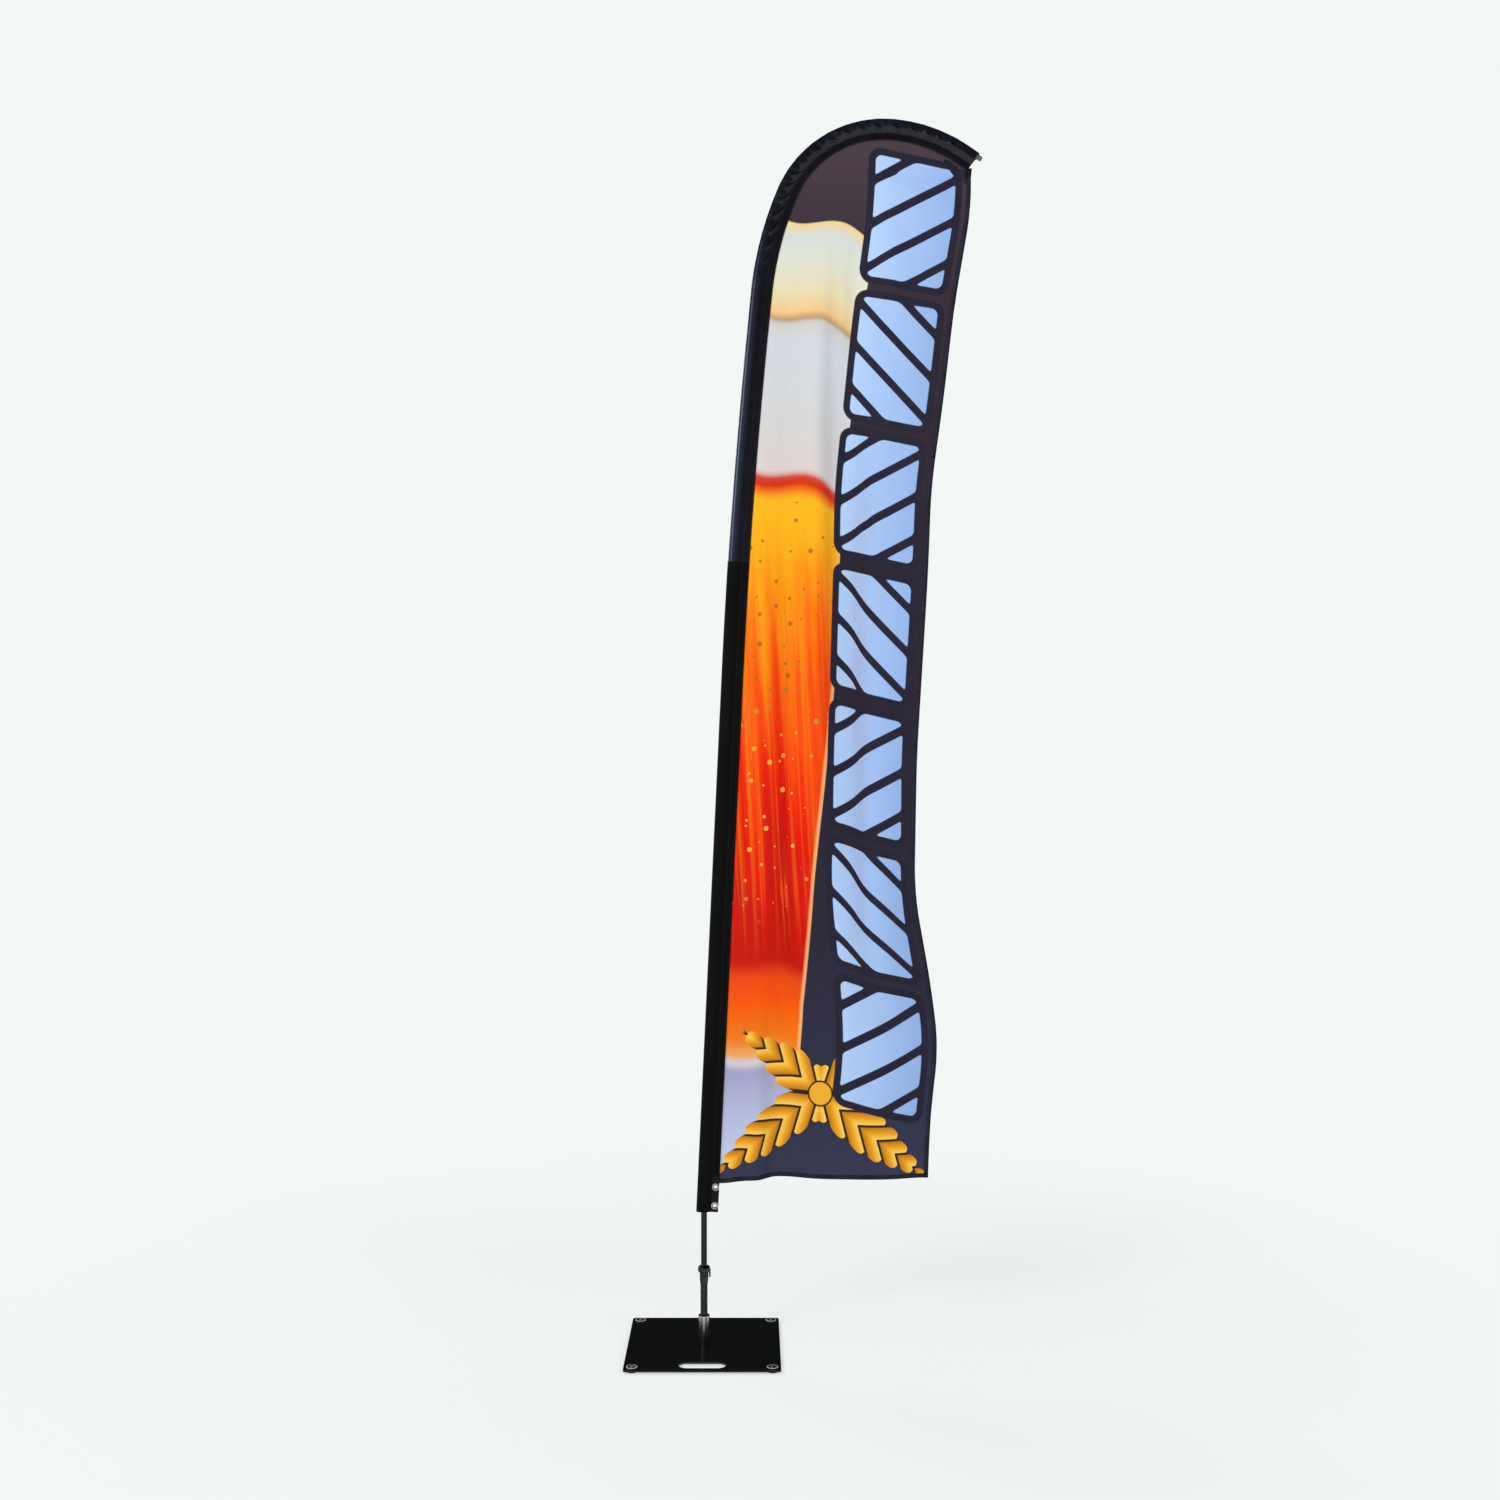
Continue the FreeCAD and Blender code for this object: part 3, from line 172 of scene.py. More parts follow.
# ---- Bearing housing and its bearings -----------------------------------------------------
# A turned and polished steel housing is bolted to the plate, and its cap screws over it.
# Inside, two ball bearings a spacer apart let the whole flag swing round with the wind.

polished_steel = surface("turned and polished steel", "#c8c6c3", 0.14, 1.0)
weathered(polished_steel, "#d8d6d2", "#bdb8b0", 0.5, 0.006, (0.18, 0.26), (0.03, 0.03, 1), 30)
dress(polished_steel, "bearing_housing", "bearing_cap")

bearing_steel = surface("ground bearing steel", "#b9bcc2", 0.16, 1.0)
weathered(bearing_steel, "#bfc2c7", "#9a9c9f", 0.25, 0.003, (0.12, 0.24), (0.1, 0.1, 1), 90)
dress(bearing_steel, "lower_bearing_outer_ring", "upper_bearing_outer_ring",
      "lower_bearing_inner_ring", "upper_bearing_inner_ring", "lower_bearing_balls",
      "upper_bearing_balls", "outer_spacer", "inner_spacer", "spindle_shaft")

seal_rubber = surface("nitrile rubber lip seal", "#0f0f10", 0.5)
weathered(seal_rubber, "#0e0e0f", "#1c1c1c", 0.3, 0.02, (0.42, 0.6), cloud=120)
dress(seal_rubber, "dust_seal", "pole_grip_ring")


# ---- Spindle, pole socket and hook collar -------------------------------------------------
# The part that turns: a drawn steel tube, a flared socket pressed on it and a rounded collar
# with a small hook. Chemical blackening leaves them a warm dark grey, lighter in cloudy patches.

gunmetal = surface("blackened steel", "#35312c", 0.3, 1.0)
weathered(gunmetal, "#2f2c28", "#5c5750", 0.5, 0.01, (0.24, 0.4), (0.08, 0.08, 1), 70)
dress(gunmetal, "spindle_tube", "pole_socket", "hook_collar")


# ---- Pole in four sections ----------------------------------------------------------------
# Drawn aluminium tubes with a gloss black baked finish, each smaller than the one below it,
# joined by bright ferrules. The last one is a fibreglass rod that bends over the crown.

pole_black = surface("gloss black enamel on aluminium tube", "#080808", 0.16,
                     Specular_IOR_Level=0.3)
weathered(pole_black, "#080808", "#12110f", 0.8, 0.006, (0.12, 0.28), (1, 1, 0.04), 14)
dress(pole_black, "lower_pole", "middle_pole", "upper_pole")

ferrule = surface("drawn aluminium ferrule", "#a2a4a7", 0.3, 1.0)
weathered(ferrule, "#a8aaad", "#84868a", 0.3, 0.008, (0.22, 0.38), (1, 1, 0.06), 60)
dress(ferrule, "lower_ferrule", "middle_ferrule", "upper_ferrule")

fibreglass = surface("pultruded fibreglass rod", "#23221f", 0.36, IOR=1.52)
weathered(fibreglass, "#1d1c1a", "#3a382f", 0.4, 0.02, (0.28, 0.46), (1, 1, 0.03), 30)
dress(fibreglass, "tip_rod")

plug_plastic = surface("moulded black polypropylene", "#131313", 0.5)
weathered(plug_plastic, "#121212", "#1e1e1e", 0.4, 0.02, (0.42, 0.6), cloud=90)
dress(plug_plastic, "pole_end_plug")

tip_plastic = surface("moulded grey nylon tip", "#5d5b5e", 0.42)
weathered(tip_plastic, "#646266", "#4a484b", 0.4, 0.02, (0.34, 0.5), cloud=160)
dress(tip_plastic, "tip_cap")


# ---- Pole sleeve --------------------------------------------------------------------------
# A strip of cloth folded round the pole and sewn to itself beside it, in two lengths. The
# lower one is matt canvas, the upper one a satin stretch cloth that creases over the crown.

# The sleeve's line: where its foot is, its heading from +Z towards +X, then each run's
# length and how far it turns. The pole inside follows the same line.
SLEEVE_FOOT = (-0.00954, 0.35629, math.radians(2.7))
SLEEVE_RUNS = [(1.431, 0.0), (0.99395, 3.35), (0.27756, 17.1), (0.36490, 71.6),
               (0.21117, 29.8), (0.040, 0.0)]
SLEEVE_LENGTH = sum(length for length, turn in SLEEVE_RUNS)
CROWN = (2.44, 3.28)     # where along the sleeve the tight bends are
CREASES_GROW, CREASES_FADE = 0.16, 0.05      # how gently the creases start and end there
CREASE_ALONG, CREASE_LEAN = 143, 290         # radians a metre, along the sleeve and beside it
LOOSE_TO, TIGHTENS = 0.016, 0.012    # beside the line: loose so far, and tight this much on
JOIN = 1.700             # where the lower length ends and the upper one starts
TAIL_TOP = 0.110         # the rows below it are closer together, for the eyelets' holes
CROWN_ROWS = 2.40        # the rows beyond it are closer together, for the creases
NOSE = 0.0105            # radius of the fold round the pole
NOSE_END = 0.012         # how far beside the line the fold ends and the slope begins
BAND_STEPS, SLOPE_STEPS = 10, 8
BAND = (0.02703, 0.04603)    # where the two layers lie together: from, to
LAYER = 0.0011           # outside of a layer of the band, from the middle
CLOTH = 0.0006
EYELET_HOLE = 0.0074     # radius cut out of the cloth behind an eyelet


def on_sleeve(distance, beside=0.0, across=0.0):
    """A point at a distance along the sleeve's line, and beside it towards the flag."""
    x, z, heading = SLEEVE_FOOT
    left = distance
    for length, turn in SLEEVE_RUNS:
        step = min(left, length)
        if turn:
            radius = length / math.radians(turn)
            turned = heading + step / radius
            x += radius * (math.cos(heading) - math.cos(turned))
            z += radius * (math.sin(turned) - math.sin(heading))
            heading = turned
        else:
            x += step * math.sin(heading)
            z += step * math.cos(heading)
        left -= step
    return Vector((x + beside * math.cos(heading), across, z - beside * math.sin(heading)))


def sleeve_section(steps, fuller):
    """The sleeve cut across: how far beside the line and how far out of the middle."""
    start, end = BAND
    half = [(end - (end - start) * i / steps, LAYER + fuller) for i in range(steps)]
    slope = [i / SLOPE_STEPS for i in range(SLOPE_STEPS)]
    half += [(start - i * (start - NOSE_END),
              LAYER + fuller + (NOSE - LAYER) * (3 * i ** 2 - 2 * i ** 3)) for i in slope]
    nose = [(-(NOSE + fuller) * math.sin(math.radians(a)),
             (NOSE + fuller) * math.cos(math.radians(a))) for a in range(0, 181, 18)]
    return [*half, (NOSE_END, NOSE + fuller), *nose, (NOSE_END, -NOSE - fuller),
            *[(beside, -out) for beside, out in reversed(half)]]


def eased(low, high, value):
    """0 below low, 1 above high and a smooth step between them."""
    t = max(0.0, min(1.0, (value - low) / (high - low)))
    return t * t * (3 - 2 * t)


def unwrap(bm, layer, cells):
    """Gives each corner of each face its vertex's place in the flat cloth."""
    for face in bm.faces:
        for loop in face.loops:
            loop[layer].uv = cells[loop.vert]


def as_piece(bm, name):
    """Ends the bmesh, and links it into the scene as a smooth mesh of that name."""
    mesh = bpy.data.meshes.new(name)
    bm.to_mesh(mesh)
    bm.free()
    mesh.shade_smooth()
    piece = bpy.data.objects.new(name, mesh)
    scene.collection.objects.link(piece)
    return piece


def thicken(piece, name, thickness, offset=0):
    """Gives a sheet its thickness: outwards of it, inwards or, at offset 0, both ways."""
    wall = piece.modifiers.new(name, "SOLIDIFY")
    wall.thickness, wall.offset = thickness, offset


def punch(bm, holes):
    """Cuts round holes through the cloth, with their middles at the points in holes."""
    cut = [f for f in bm.faces
           if any((f.calc_center_median() - hole).xz.length < EYELET_HOLE for hole in holes)]
    bmesh.ops.delete(bm, geom=cut, context="FACES")


def fold_sleeve(name, places, fuller, creases, holes=()):
    """A length of sleeve as one folded strip, creased where it goes over the crown.

    places are the distances along the line where the cloth has a row of corners, fuller is
    how much wider than the other length it is, and creases the depth of its creases."""
    section = sleeve_section(BAND_STEPS, fuller)
    around = [0.0]
    for a, b in zip(section, section[1:]):
        around.append(around[-1] + math.dist(a, b))
    bm = bmesh.new()
    bmesh.ops.create_grid(bm, x_segments=len(places) - 1, y_segments=len(section) - 1, size=0.5)
    layer = bm.loops.layers.uv.new("cloth")
    cells = {}
    for vert in bm.verts:
        i = round((vert.co.x + 0.5) * (len(places) - 1))
        j = round((vert.co.y + 0.5) * (len(section) - 1))
        cells[vert] = (places[i], around[j])
        along, (beside, out) = places[i], section[j]
        bend = max(0.0, min(1.0, (along - CROWN[0]) / CREASES_GROW,
                            (CROWN[1] - along) / CREASES_FADE))
        loose = max(0.0, 1 - max(0.0, beside - LOOSE_TO) / TIGHTENS)
        side = 1 if out > 0 else -1
        drift = 2.6 * noise.noise(Vector((along * 7, beside * 25, 3 * side)))
        slant = CREASE_ALONG * along - CREASE_LEAN * beside + drift
        patchy = 0.7 + 0.6 * noise.noise(Vector((along * 14, beside * 12, 11 * side)))
        crease = max(0.0, math.sin(slant)) ** 1.5 - 0.3
        off_nose = eased(-0.010, 0.006, beside)
        slack = noise.noise(Vector((along * 5, out * 60, 7)))
        puff = creases * (bend * crease * patchy * (0.12 + 0.88 * off_nose)
                          + 0.2 * slack * off_nose) * loose
        length = math.hypot(beside, out)
        if beside > 0:
            vert.co = on_sleeve(along, beside, out + puff * side)
        else:
            vert.co = on_sleeve(along, beside * (1 + puff / length), out * (1 + puff / length))
    unwrap(bm, layer, cells)
    punch(bm, holes)
    bmesh.ops.recalc_face_normals(bm, faces=bm.faces)
    nose = max(bm.faces, key=lambda f: -f.calc_center_median().x)
    if nose.normal.x > 0:
        bmesh.ops.reverse_faces(bm, faces=bm.faces)
    piece = as_piece(bm, name)
    thicken(piece, "cloth thickness", CLOTH, -1)
    return piece, around[-1]


eyelets = [sum(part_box(name), Vector()) / 2 for name in ("lower_eyelet", "upper_eyelet")]
tail_rows = [0.0015 * i for i in range(70)]
lower_end = JOIN + 0.012
lower_rows = tail_rows + [TAIL_TOP + (lower_end - TAIL_TOP) * i / 150 for i in range(151)]
lower_sleeve, lower_width = fold_sleeve("sleeve_lower_canvas", lower_rows, 0.0006, 0.0012,
                                        eyelets)
upper_start, upper_end = JOIN - 0.006, SLEEVE_LENGTH - 0.009
upper_rows = [upper_start + (CROWN_ROWS - upper_start) * i / 70 for i in range(70)]
upper_rows += [CROWN_ROWS + (upper_end - CROWN_ROWS) * i / 330 for i in range(331)]
upper_sleeve, upper_width = fold_sleeve("sleeve_upper_satin", upper_rows, 0.0, 0.0046)


STITCH, STITCH_ON = 0.006, 0.0043    # one stitch and its gap, and the stitch alone
ROW_EVERY = 0.0155       # from one row of stitches to the next
ROW_IN = 0.003           # from the sewn edge to the first row
ROW_HALF = 0.0008
SEWN_BAND = 0.021        # the rows lie within this of the edge
SHEEN_ROUND_POLE = (0.034, 0.058)      # from the sewn edge, where the fold round the pole and its painted sheen begin
NEAR_CROWN = (2.2, 2.6)  # along the sleeve, where the painted sheen on that fold gives out


def stitched_cloth(made, width, clean, lit, nose, thread, weave, relief):
    """Weave in relief, soft mottling, and two rows of lockstitch along the sewn edge. The cloth
    takes the colour called nose, a painted sheen, where it turns round the pole, below the crown.

    A real stitch is about 3 mm long and under a millimetre wide. It is drawn bigger, to show."""
    tree = made.node_tree
    uv = add(tree, "ShaderNodeUVMap", uv_map="cloth")
    parts = add(tree, "ShaderNodeSeparateXYZ", uv)
    along, around = parts.outputs[0], parts.outputs[1]
    other = maths(tree, "SUBTRACT", width, around)
    edge = maths(tree, "MINIMUM", around, other)
    row = maths(tree, "WRAP", edge, ROW_EVERY, 0.0)
    on_row = maths(tree, "COMPARE", row, ROW_IN, ROW_HALF)
    in_band = maths(tree, "LESS_THAN", edge, SEWN_BAND)
    beat = maths(tree, "WRAP", along, STITCH, 0.0)
    stitch = maths(tree, "LESS_THAN", beat, STITCH_ON)
    sewn = maths(tree, "MULTIPLY", on_row, in_band)
    thread_on = maths(tree, "MULTIPLY", sewn, stitch)
    mottle = add(tree, "ShaderNodeTexNoise", uv, None, 18.0, 5.0, 0.6)
    tone = add(tree, "ShaderNodeMixRGB",
               add(tree, "ShaderNodeMapRange", mottle, 0.35, 0.7, 0.0, 1.0),
               linear(clean), linear(lit))
    # Painted sheen: the fold round the pole, below the crown, takes the colour nose.
    painted_sheen = maths(tree, "MULTIPLY",
                       add(tree, "ShaderNodeMapRange", edge, *SHEEN_ROUND_POLE, 0.0, 1.0),
                       add(tree, "ShaderNodeMapRange", along, *NEAR_CROWN, 1.0, 0.12))
    tone = add(tree, "ShaderNodeMixRGB", painted_sheen, tone, linear(nose))
    yarns = add(tree, "ShaderNodeTexWave", uv, 1 / (weave * MM * 2), 0.0, 0.0,
                bands_direction="X")
    picks = add(tree, "ShaderNodeTexWave", uv, 1 / (weave * MM * 2), 0.0, 0.0,
                bands_direction="Y")
    cloth = maths(tree, "MULTIPLY", yarns.outputs["Fac"], picks.outputs["Fac"])
    height = maths(tree, "MULTIPLY_ADD", thread_on, 3.0, cloth)
    feed(made,
         Base_Color=add(tree, "ShaderNodeMixRGB", thread_on, tone, linear(thread)),
         Normal=add(tree, "ShaderNodeBump", 0.5, relief * MM, None, height))


canvas = surface("matt black polyester canvas", "#0a0a0b", 0.88, Specular_IOR_Level=0.12,
                 Sheen_Weight=0.02, Sheen_Roughness=0.5)
stitched_cloth(canvas, lower_width, "#070708", "#0c0c0d", "#0c0c0d", "#19191c", 0.8, 0.12)
lower_sleeve.data.materials.append(canvas)

satin = surface("black satin stretch cloth", "#0e0c14", 0.3, Specular_IOR_Level=0.34,
                Sheen_Weight=0.06, Sheen_Roughness=0.35, Sheen_Tint=linear("#7f93e0"))
# The navy nose colour is a painted sheen on the satin's fold round the pole.
stitched_cloth(satin, upper_width, "#0b0910", "#15121b", "#2b344e", "#1e1e24", 0.5, 0.03)
upper_sleeve.data.materials.append(satin)

for piece, node, width, length in (
        (lower_sleeve, "sleeve_lower", lower_width, lower_rows[-1] - lower_rows[0]),
        (upper_sleeve, "sleeve_upper", upper_width, upper_rows[-1] - upper_rows[0])):
    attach(piece, "flag_and_upper_pole")
    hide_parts(node)


# ---- Tail patch and eyelets ---------------------------------------------------------------
# A length of nylon webbing folded over the sewn edge stiffens the sleeve's lower end. Two
# nickel-plated brass eyelets go through it, to take the hook that keeps the flag down.

PATCH_ALONG = (0.004, 0.096)
PATCH_EDGE = 0.0466      # the fold, just outside the sewn edge
PATCH_INNER = 0.0280
PATCH_OUT = 0.0021       # from the sleeve's middle to the webbing's outside
WEBBING = 0.0008

bm = bmesh.new()
bmesh.ops.create_grid(bm, x_segments=60, y_segments=26, size=0.5)
layer = bm.loops.layers.uv.new("cloth")
cells = {}
for vert in bm.verts:
    along = PATCH_ALONG[0] + (PATCH_ALONG[1] - PATCH_ALONG[0]) * (vert.co.x + 0.5)
    in_from_fold = (PATCH_EDGE - PATCH_INNER) * abs(2 * vert.co.y)
    rounded = min(1.0, in_from_fold / PATCH_OUT)
    out = math.copysign(PATCH_OUT * math.sin(rounded * math.pi / 2), vert.co.y)
    cells[vert] = (along, math.copysign(in_from_fold, vert.co.y))
    vert.co = on_sleeve(along, PATCH_EDGE - in_from_fold, out)
unwrap(bm, layer, cells)
punch(bm, eyelets)
bmesh.ops.recalc_face_normals(bm, faces=bm.faces)
tail = as_piece(bm, "sleeve_tail_webbing")
thicken(tail, "webbing thickness", WEBBING, -1)

webbing = surface("woven nylon webbing", "#0e0e11", 0.7, Specular_IOR_Level=0.15,
                  Sheen_Weight=0.03)
tree = webbing.node_tree
uv = add(tree, "ShaderNodeUVMap", uv_map="cloth")
turned = add(tree, "ShaderNodeMapping", uv, None, Vector((0, 0, math.radians(38))))
ribs = add(tree, "ShaderNodeTexWave", turned, 1 / (1.6 * MM * 2), 0.6, 1.0,
           bands_direction="X")
fuzz = add(tree, "ShaderNodeTexNoise", uv, None, 900.0, 3.0, 0.6)
feed(webbing,
     Base_Color=add(tree, "ShaderNodeMixRGB", ribs.outputs["Fac"],
                    linear("#0a0a0c"), linear("#1a1a1f")),
     Roughness=add(tree, "ShaderNodeMapRange", fuzz, 0.3, 0.7, 0.6, 0.85),
     Normal=add(tree, "ShaderNodeBump", 0.7, 0.25 * MM, None, ribs.outputs["Fac"]))
tail.data.materials.append(webbing)
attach(tail, "flag_and_upper_pole")
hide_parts("sleeve_tail_patch")

EYELET_INNER = (0.0088, 0.0068)      # radius where the painted shade in the eyelet's hole starts, and is full

nickel = surface("nickel-plated brass", "#d6d1c2", 0.2, 1.0)
tree = nickel.node_tree
place = add(tree, "ShaderNodeTexCoord").outputs["Object"]
flat = add(tree, "ShaderNodeVectorMath", place, Vector((1, 0, 1)), operation="MULTIPLY")
near = [add(tree, "ShaderNodeVectorMath", flat, Vector((middle.x, 0, middle.z)),
            operation="DISTANCE").outputs["Value"] for middle in eyelets]
reach = maths(tree, "MINIMUM", near[0], near[1])
tarnish = add(tree, "ShaderNodeTexNoise", place, None, 700.0, 3.0, 0.6)
# The eyelets darken towards their holes: painted shade in the hole, and patches of tarnish from
# noise.
tarnish_and_shade = maths(tree, "MAXIMUM",
             add(tree, "ShaderNodeMapRange", reach, *EYELET_INNER, 0.0, 0.85),
             add(tree, "ShaderNodeMapRange", tarnish, 0.5, 0.7, 0.0, 0.3))
feed(nickel,
     Base_Color=add(tree, "ShaderNodeMixRGB", tarnish_and_shade, linear("#d8d3c4"), linear("#4c4130")),
     Roughness=add(tree, "ShaderNodeMapRange", tarnish, 0.35, 0.65, 0.2, 0.42),
     Normal=add(tree, "ShaderNodeBump", 0.3, 0.01 * MM, None, tarnish.outputs[0]))
dress(nickel, "lower_eyelet", "upper_eyelet")


# ---- Flag panel ---------------------------------------------------------------------------
# One piece of knitted polyester, sewn into the sleeve down its side and over the crown. Its
# free edge is cut slightly hollow, and hangs in long soft folds that draw it in further.

HEM_BASE = 0.4303        # height of the lower edge at the sleeve
SEAM = 0.04503           # from the sleeve's line to the line of sewing
HEM = 0.012
POLYESTER = 0.0004
EDGE_LOW = (0.630, 0.4523)       # the free edge's ends in the flat cut: X, Z
EDGE_HIGH = (0.7055, 3.0927)
FLAG_REACH = 0.704
# How far out the free edge hangs: share of its height, share of the flag's reach.
HUNG_EDGE = [(-0.1, 0.852), (0, 0.852), (0.060, 0.858), (0.125, 0.883), (0.184, 0.854),
             (0.286, 0.782), (0.420, 0.786), (0.597, 0.821), (0.688, 0.832), (0.777, 0.884),
             (0.866, 0.928), (0.926, 0.972), (0.966, 1.001), (1, 1), (1.1, 1)]
HOLLOW = 0.5             # how much of that line the flat cut itself has
FOLD, RIPPLE = 0.50, 0.17    # from one long fold to the next, and from one small one
RIPPLE_SHARE = 0.30      # how strong the small folds are beside the long ones
TAUT = 0.20              # within this of the sewing the cloth hangs flatter
ARCH, ARCH_FALL = 0.030, 0.006       # how far the lower edge rises away from the sleeve, and falls
ARCH_HEIGHT = 0.7        # the rows above the lower edge that this reaches
COLUMNS = 58
ROW, CLOSE_ROW, CLOSE_FROM = 0.0115, 0.0055, 2.9     # rows are closer under the crown
SEWN_FROM = 0.0762       # how far along the sleeve the sewing starts
STEEPEST = 1.3           # radians that a fold can swing out of the plane
MOMENTS = 24             # steps of the settling


def between(points, place):
    """The value at a place, on straight lines between (place, value) points."""
    for (a, low), (b, high) in zip(points, points[1:]):
        if min(a, b) <= place <= max(a, b):
            return low + (high - low) * (place - a) / (b - a)
    return points[-1][1]


sewn_length = SLEEVE_LENGTH - 0.004 - SEWN_FROM
seam = [on_sleeve(SEWN_FROM + sewn_length * i / 900, SEAM) for i in range(901)]
top = max(range(len(seam)), key=lambda i: seam[i].z)
near_side = [(p.z, p.x) for p in seam[:top + 1]]
far_side = [(p.z, p.x) for p in seam[top:]]
highest = seam[top].z - 0.0003

heights = [HEM_BASE, HEM_BASE + HEM]
while heights[-1] < highest:
    heights.append(heights[-1] + (ROW if heights[-1] < CLOSE_FROM else CLOSE_ROW))
heights[-1] = highest

bm = bmesh.new()
bmesh.ops.create_grid(bm, x_segments=COLUMNS, y_segments=len(heights) - 1, size=0.5)
bm.verts.ensure_lookup_table()
cell_of = [(round((v.co.x + 0.5) * COLUMNS), round((v.co.y + 0.5) * (len(heights) - 1)))
           for v in bm.verts]
cut_rows, hung_rows, edge_rows = [], [], []
for k, height in enumerate(heights):
    share = (height - EDGE_LOW[1]) / (EDGE_HIGH[1] - EDGE_LOW[1])
    straight = EDGE_LOW[0] + (EDGE_HIGH[0] - EDGE_LOW[0]) * share
    start = between(near_side, height)
    if share < 1:
        hung = sum(between(HUNG_EDGE, share + i * 0.012) for i in range(-2, 3)) / 5 * FLAG_REACH
        end = max(straight + (hung - straight) * HOLLOW, hung)
    else:
        hung = end = between(far_side, height)
    width = end - start
    hem = min(HEM, width * 0.1)
    steps = [(width - hem) * j / (COLUMNS - 1) for j in range(COLUMNS)] + [width]
    rise = [ARCH * (1 - (1 - s / width) ** 2) - ARCH_FALL * (s / width) ** 2 for s in steps]
    lift = max(0.0, 1 - (height - HEM_BASE) / ARCH_HEIGHT)

    def lay_out(swing):
        """The row's points, for how far its folds swing out of the plane."""
        x, y, laid = start, 0.0, [(start, 0.0)]
        for a, b in zip(steps, steps[1:]):
            s = (a + b) / 2
            loose = eased(0.0, TAUT, s)
            small = RIPPLE_SHARE * math.cos(math.tau * s / RIPPLE + 5 * share + 1)
            turn = swing * loose * (math.cos(math.tau * s / FOLD - 2.2 * share) + small)
            x += math.cos(turn) * (b - a)
            y += math.sin(turn) * (b - a)
            laid.append((x, y))
        return laid

    low, high = 0.0, STEEPEST
    for _ in range(24):
        swing = (low + high) / 2
        low, high = (swing, high) if lay_out(swing)[-1][0] > hung else (low, swing)
    hung_rows.append([(x, y, height + lift * r) for (x, y), r in zip(lay_out(low), rise)])
    cut_rows.append([(start + s, 0.0, height + lift * r) for s, r in zip(steps, rise)])
    cut_edge = max(end, straight) if share >= 1 else end
    edge_rows.append([(s, cut_edge - start - s) for s in steps])

for vert, (j, k) in zip(bm.verts, cell_of):
    vert.co = hung_rows[k][j]
cut_map = bm.loops.layers.uv.new("cut")
edge_map = bm.loops.layers.uv.new("edges")
for face in bm.faces:
    for loop in face.loops:
        j, k = cell_of[loop.vert.index]
        loop[cut_map].uv = cut_rows[k][j][0], cut_rows[k][j][2]
        loop[edge_map].uv = edge_rows[k][j]
panel = as_piece(bm, "flag_panel_cloth")

# The cloth settles from its folded start: its cut size is its rest shape, and every
# corner on the line of sewing is held.
panel.shape_key_add(name="hung")
flat_key = panel.shape_key_add(name="cut")
for point, (j, k) in zip(flat_key.data, cell_of):
    point.co = cut_rows[k][j]
sewn = panel.vertex_groups.new(name="sewn")
held = [i for i, (j, k) in enumerate(cell_of)
        if j == 0 or k == len(heights) - 1 or heights[k] > EDGE_HIGH[1] and j == COLUMNS]
sewn.add(held, 1.0, "REPLACE")
sim = panel.modifiers.new("settle", "CLOTH")
sim.settings.vertex_group_mass = "sewn"
sim.settings.rest_shape_key = flat_key
sim.settings.quality = 6
sim.settings.mass = 0.012
sim.settings.tension_stiffness = 60
sim.settings.compression_stiffness = 60
sim.settings.shear_stiffness = 12
sim.settings.bending_stiffness = 0.3
sim.settings.air_damping = 3
sim.point_cache.frame_start, sim.point_cache.frame_end = 1, MOMENTS
for moment in range(1, MOMENTS + 1):
    scene.frame_set(moment)
settled = bpy.data.meshes.new_from_object(
    panel.evaluated_get(bpy.context.evaluated_depsgraph_get()))
panel.modifiers.remove(sim)
panel.shape_key_clear()
panel.data = settled
scene.frame_set(1)
panel.data.shade_smooth()
thicken(panel, "cloth thickness", POLYESTER)

# The print is dyed right through, so that both faces show it. Its pattern is in metres on
# the flat cut: X across and Z up, then from the sewn edge and from the free edge.
printed = surface("dye-printed knitted polyester", "#3a2f3a", 0.78, Specular_IOR_Level=0.1,
                  Sheen_Weight=0.015, Sheen_Roughness=0.45)
tree = printed.node_tree
cut = add(tree, "ShaderNodeUVMap", uv_map="cut")
place = add(tree, "ShaderNodeSeparateXYZ", cut)
x, z = place.outputs[0], place.outputs[1]
sides = add(tree, "ShaderNodeSeparateXYZ", add(tree, "ShaderNodeUVMap", uv_map="edges"))
inside, outside = sides.outputs[0], sides.outputs[1]

FIELD = [(0.43, "#383a52"), (0.70, "#303147"), (1.10, "#2b2838"), (1.60, "#2a2535"),
         (2.20, "#2d2431"), (2.60, "#332833"), (2.95, "#3d313b"), (3.15, "#483a45")]
BANDS = [(0.43, "#b6bbe0"), (0.52, "#c4cdea"), (0.62, "#b9bfe0"), (0.745, "#a4a3c8"),
         (0.768, "#d6cfd8"), (0.788, "#f0a860"), (0.83, "#f57a14"), (0.93, "#fa5606"),
         (0.99, "#f04a10"), (1.03, "#c41a08"), (1.12, "#d01206"), (1.25, "#e81c02"),
         (1.42, "#f23402"), (1.60, "#f75006"), (1.80, "#f97408"), (1.98, "#fb940e"),
         (2.12, "#fbad16"), (2.25, "#fbb61a"), (2.268, "#f8861a"), (2.288, "#d83412"),
         (2.308, "#d03a22"), (2.325, "#d8cdc8"), (2.50, "#d2d1d2"), (2.66, "#d0d3da"),
         (2.715, "#cfcac6"), (2.728, "#b98f6a"), (2.742, "#f0c483"), (2.80, "#e6d9b2"),
         (2.88, "#dcdcca"), (2.945, "#d3d8d2"), (2.975, "#f1cf92")]
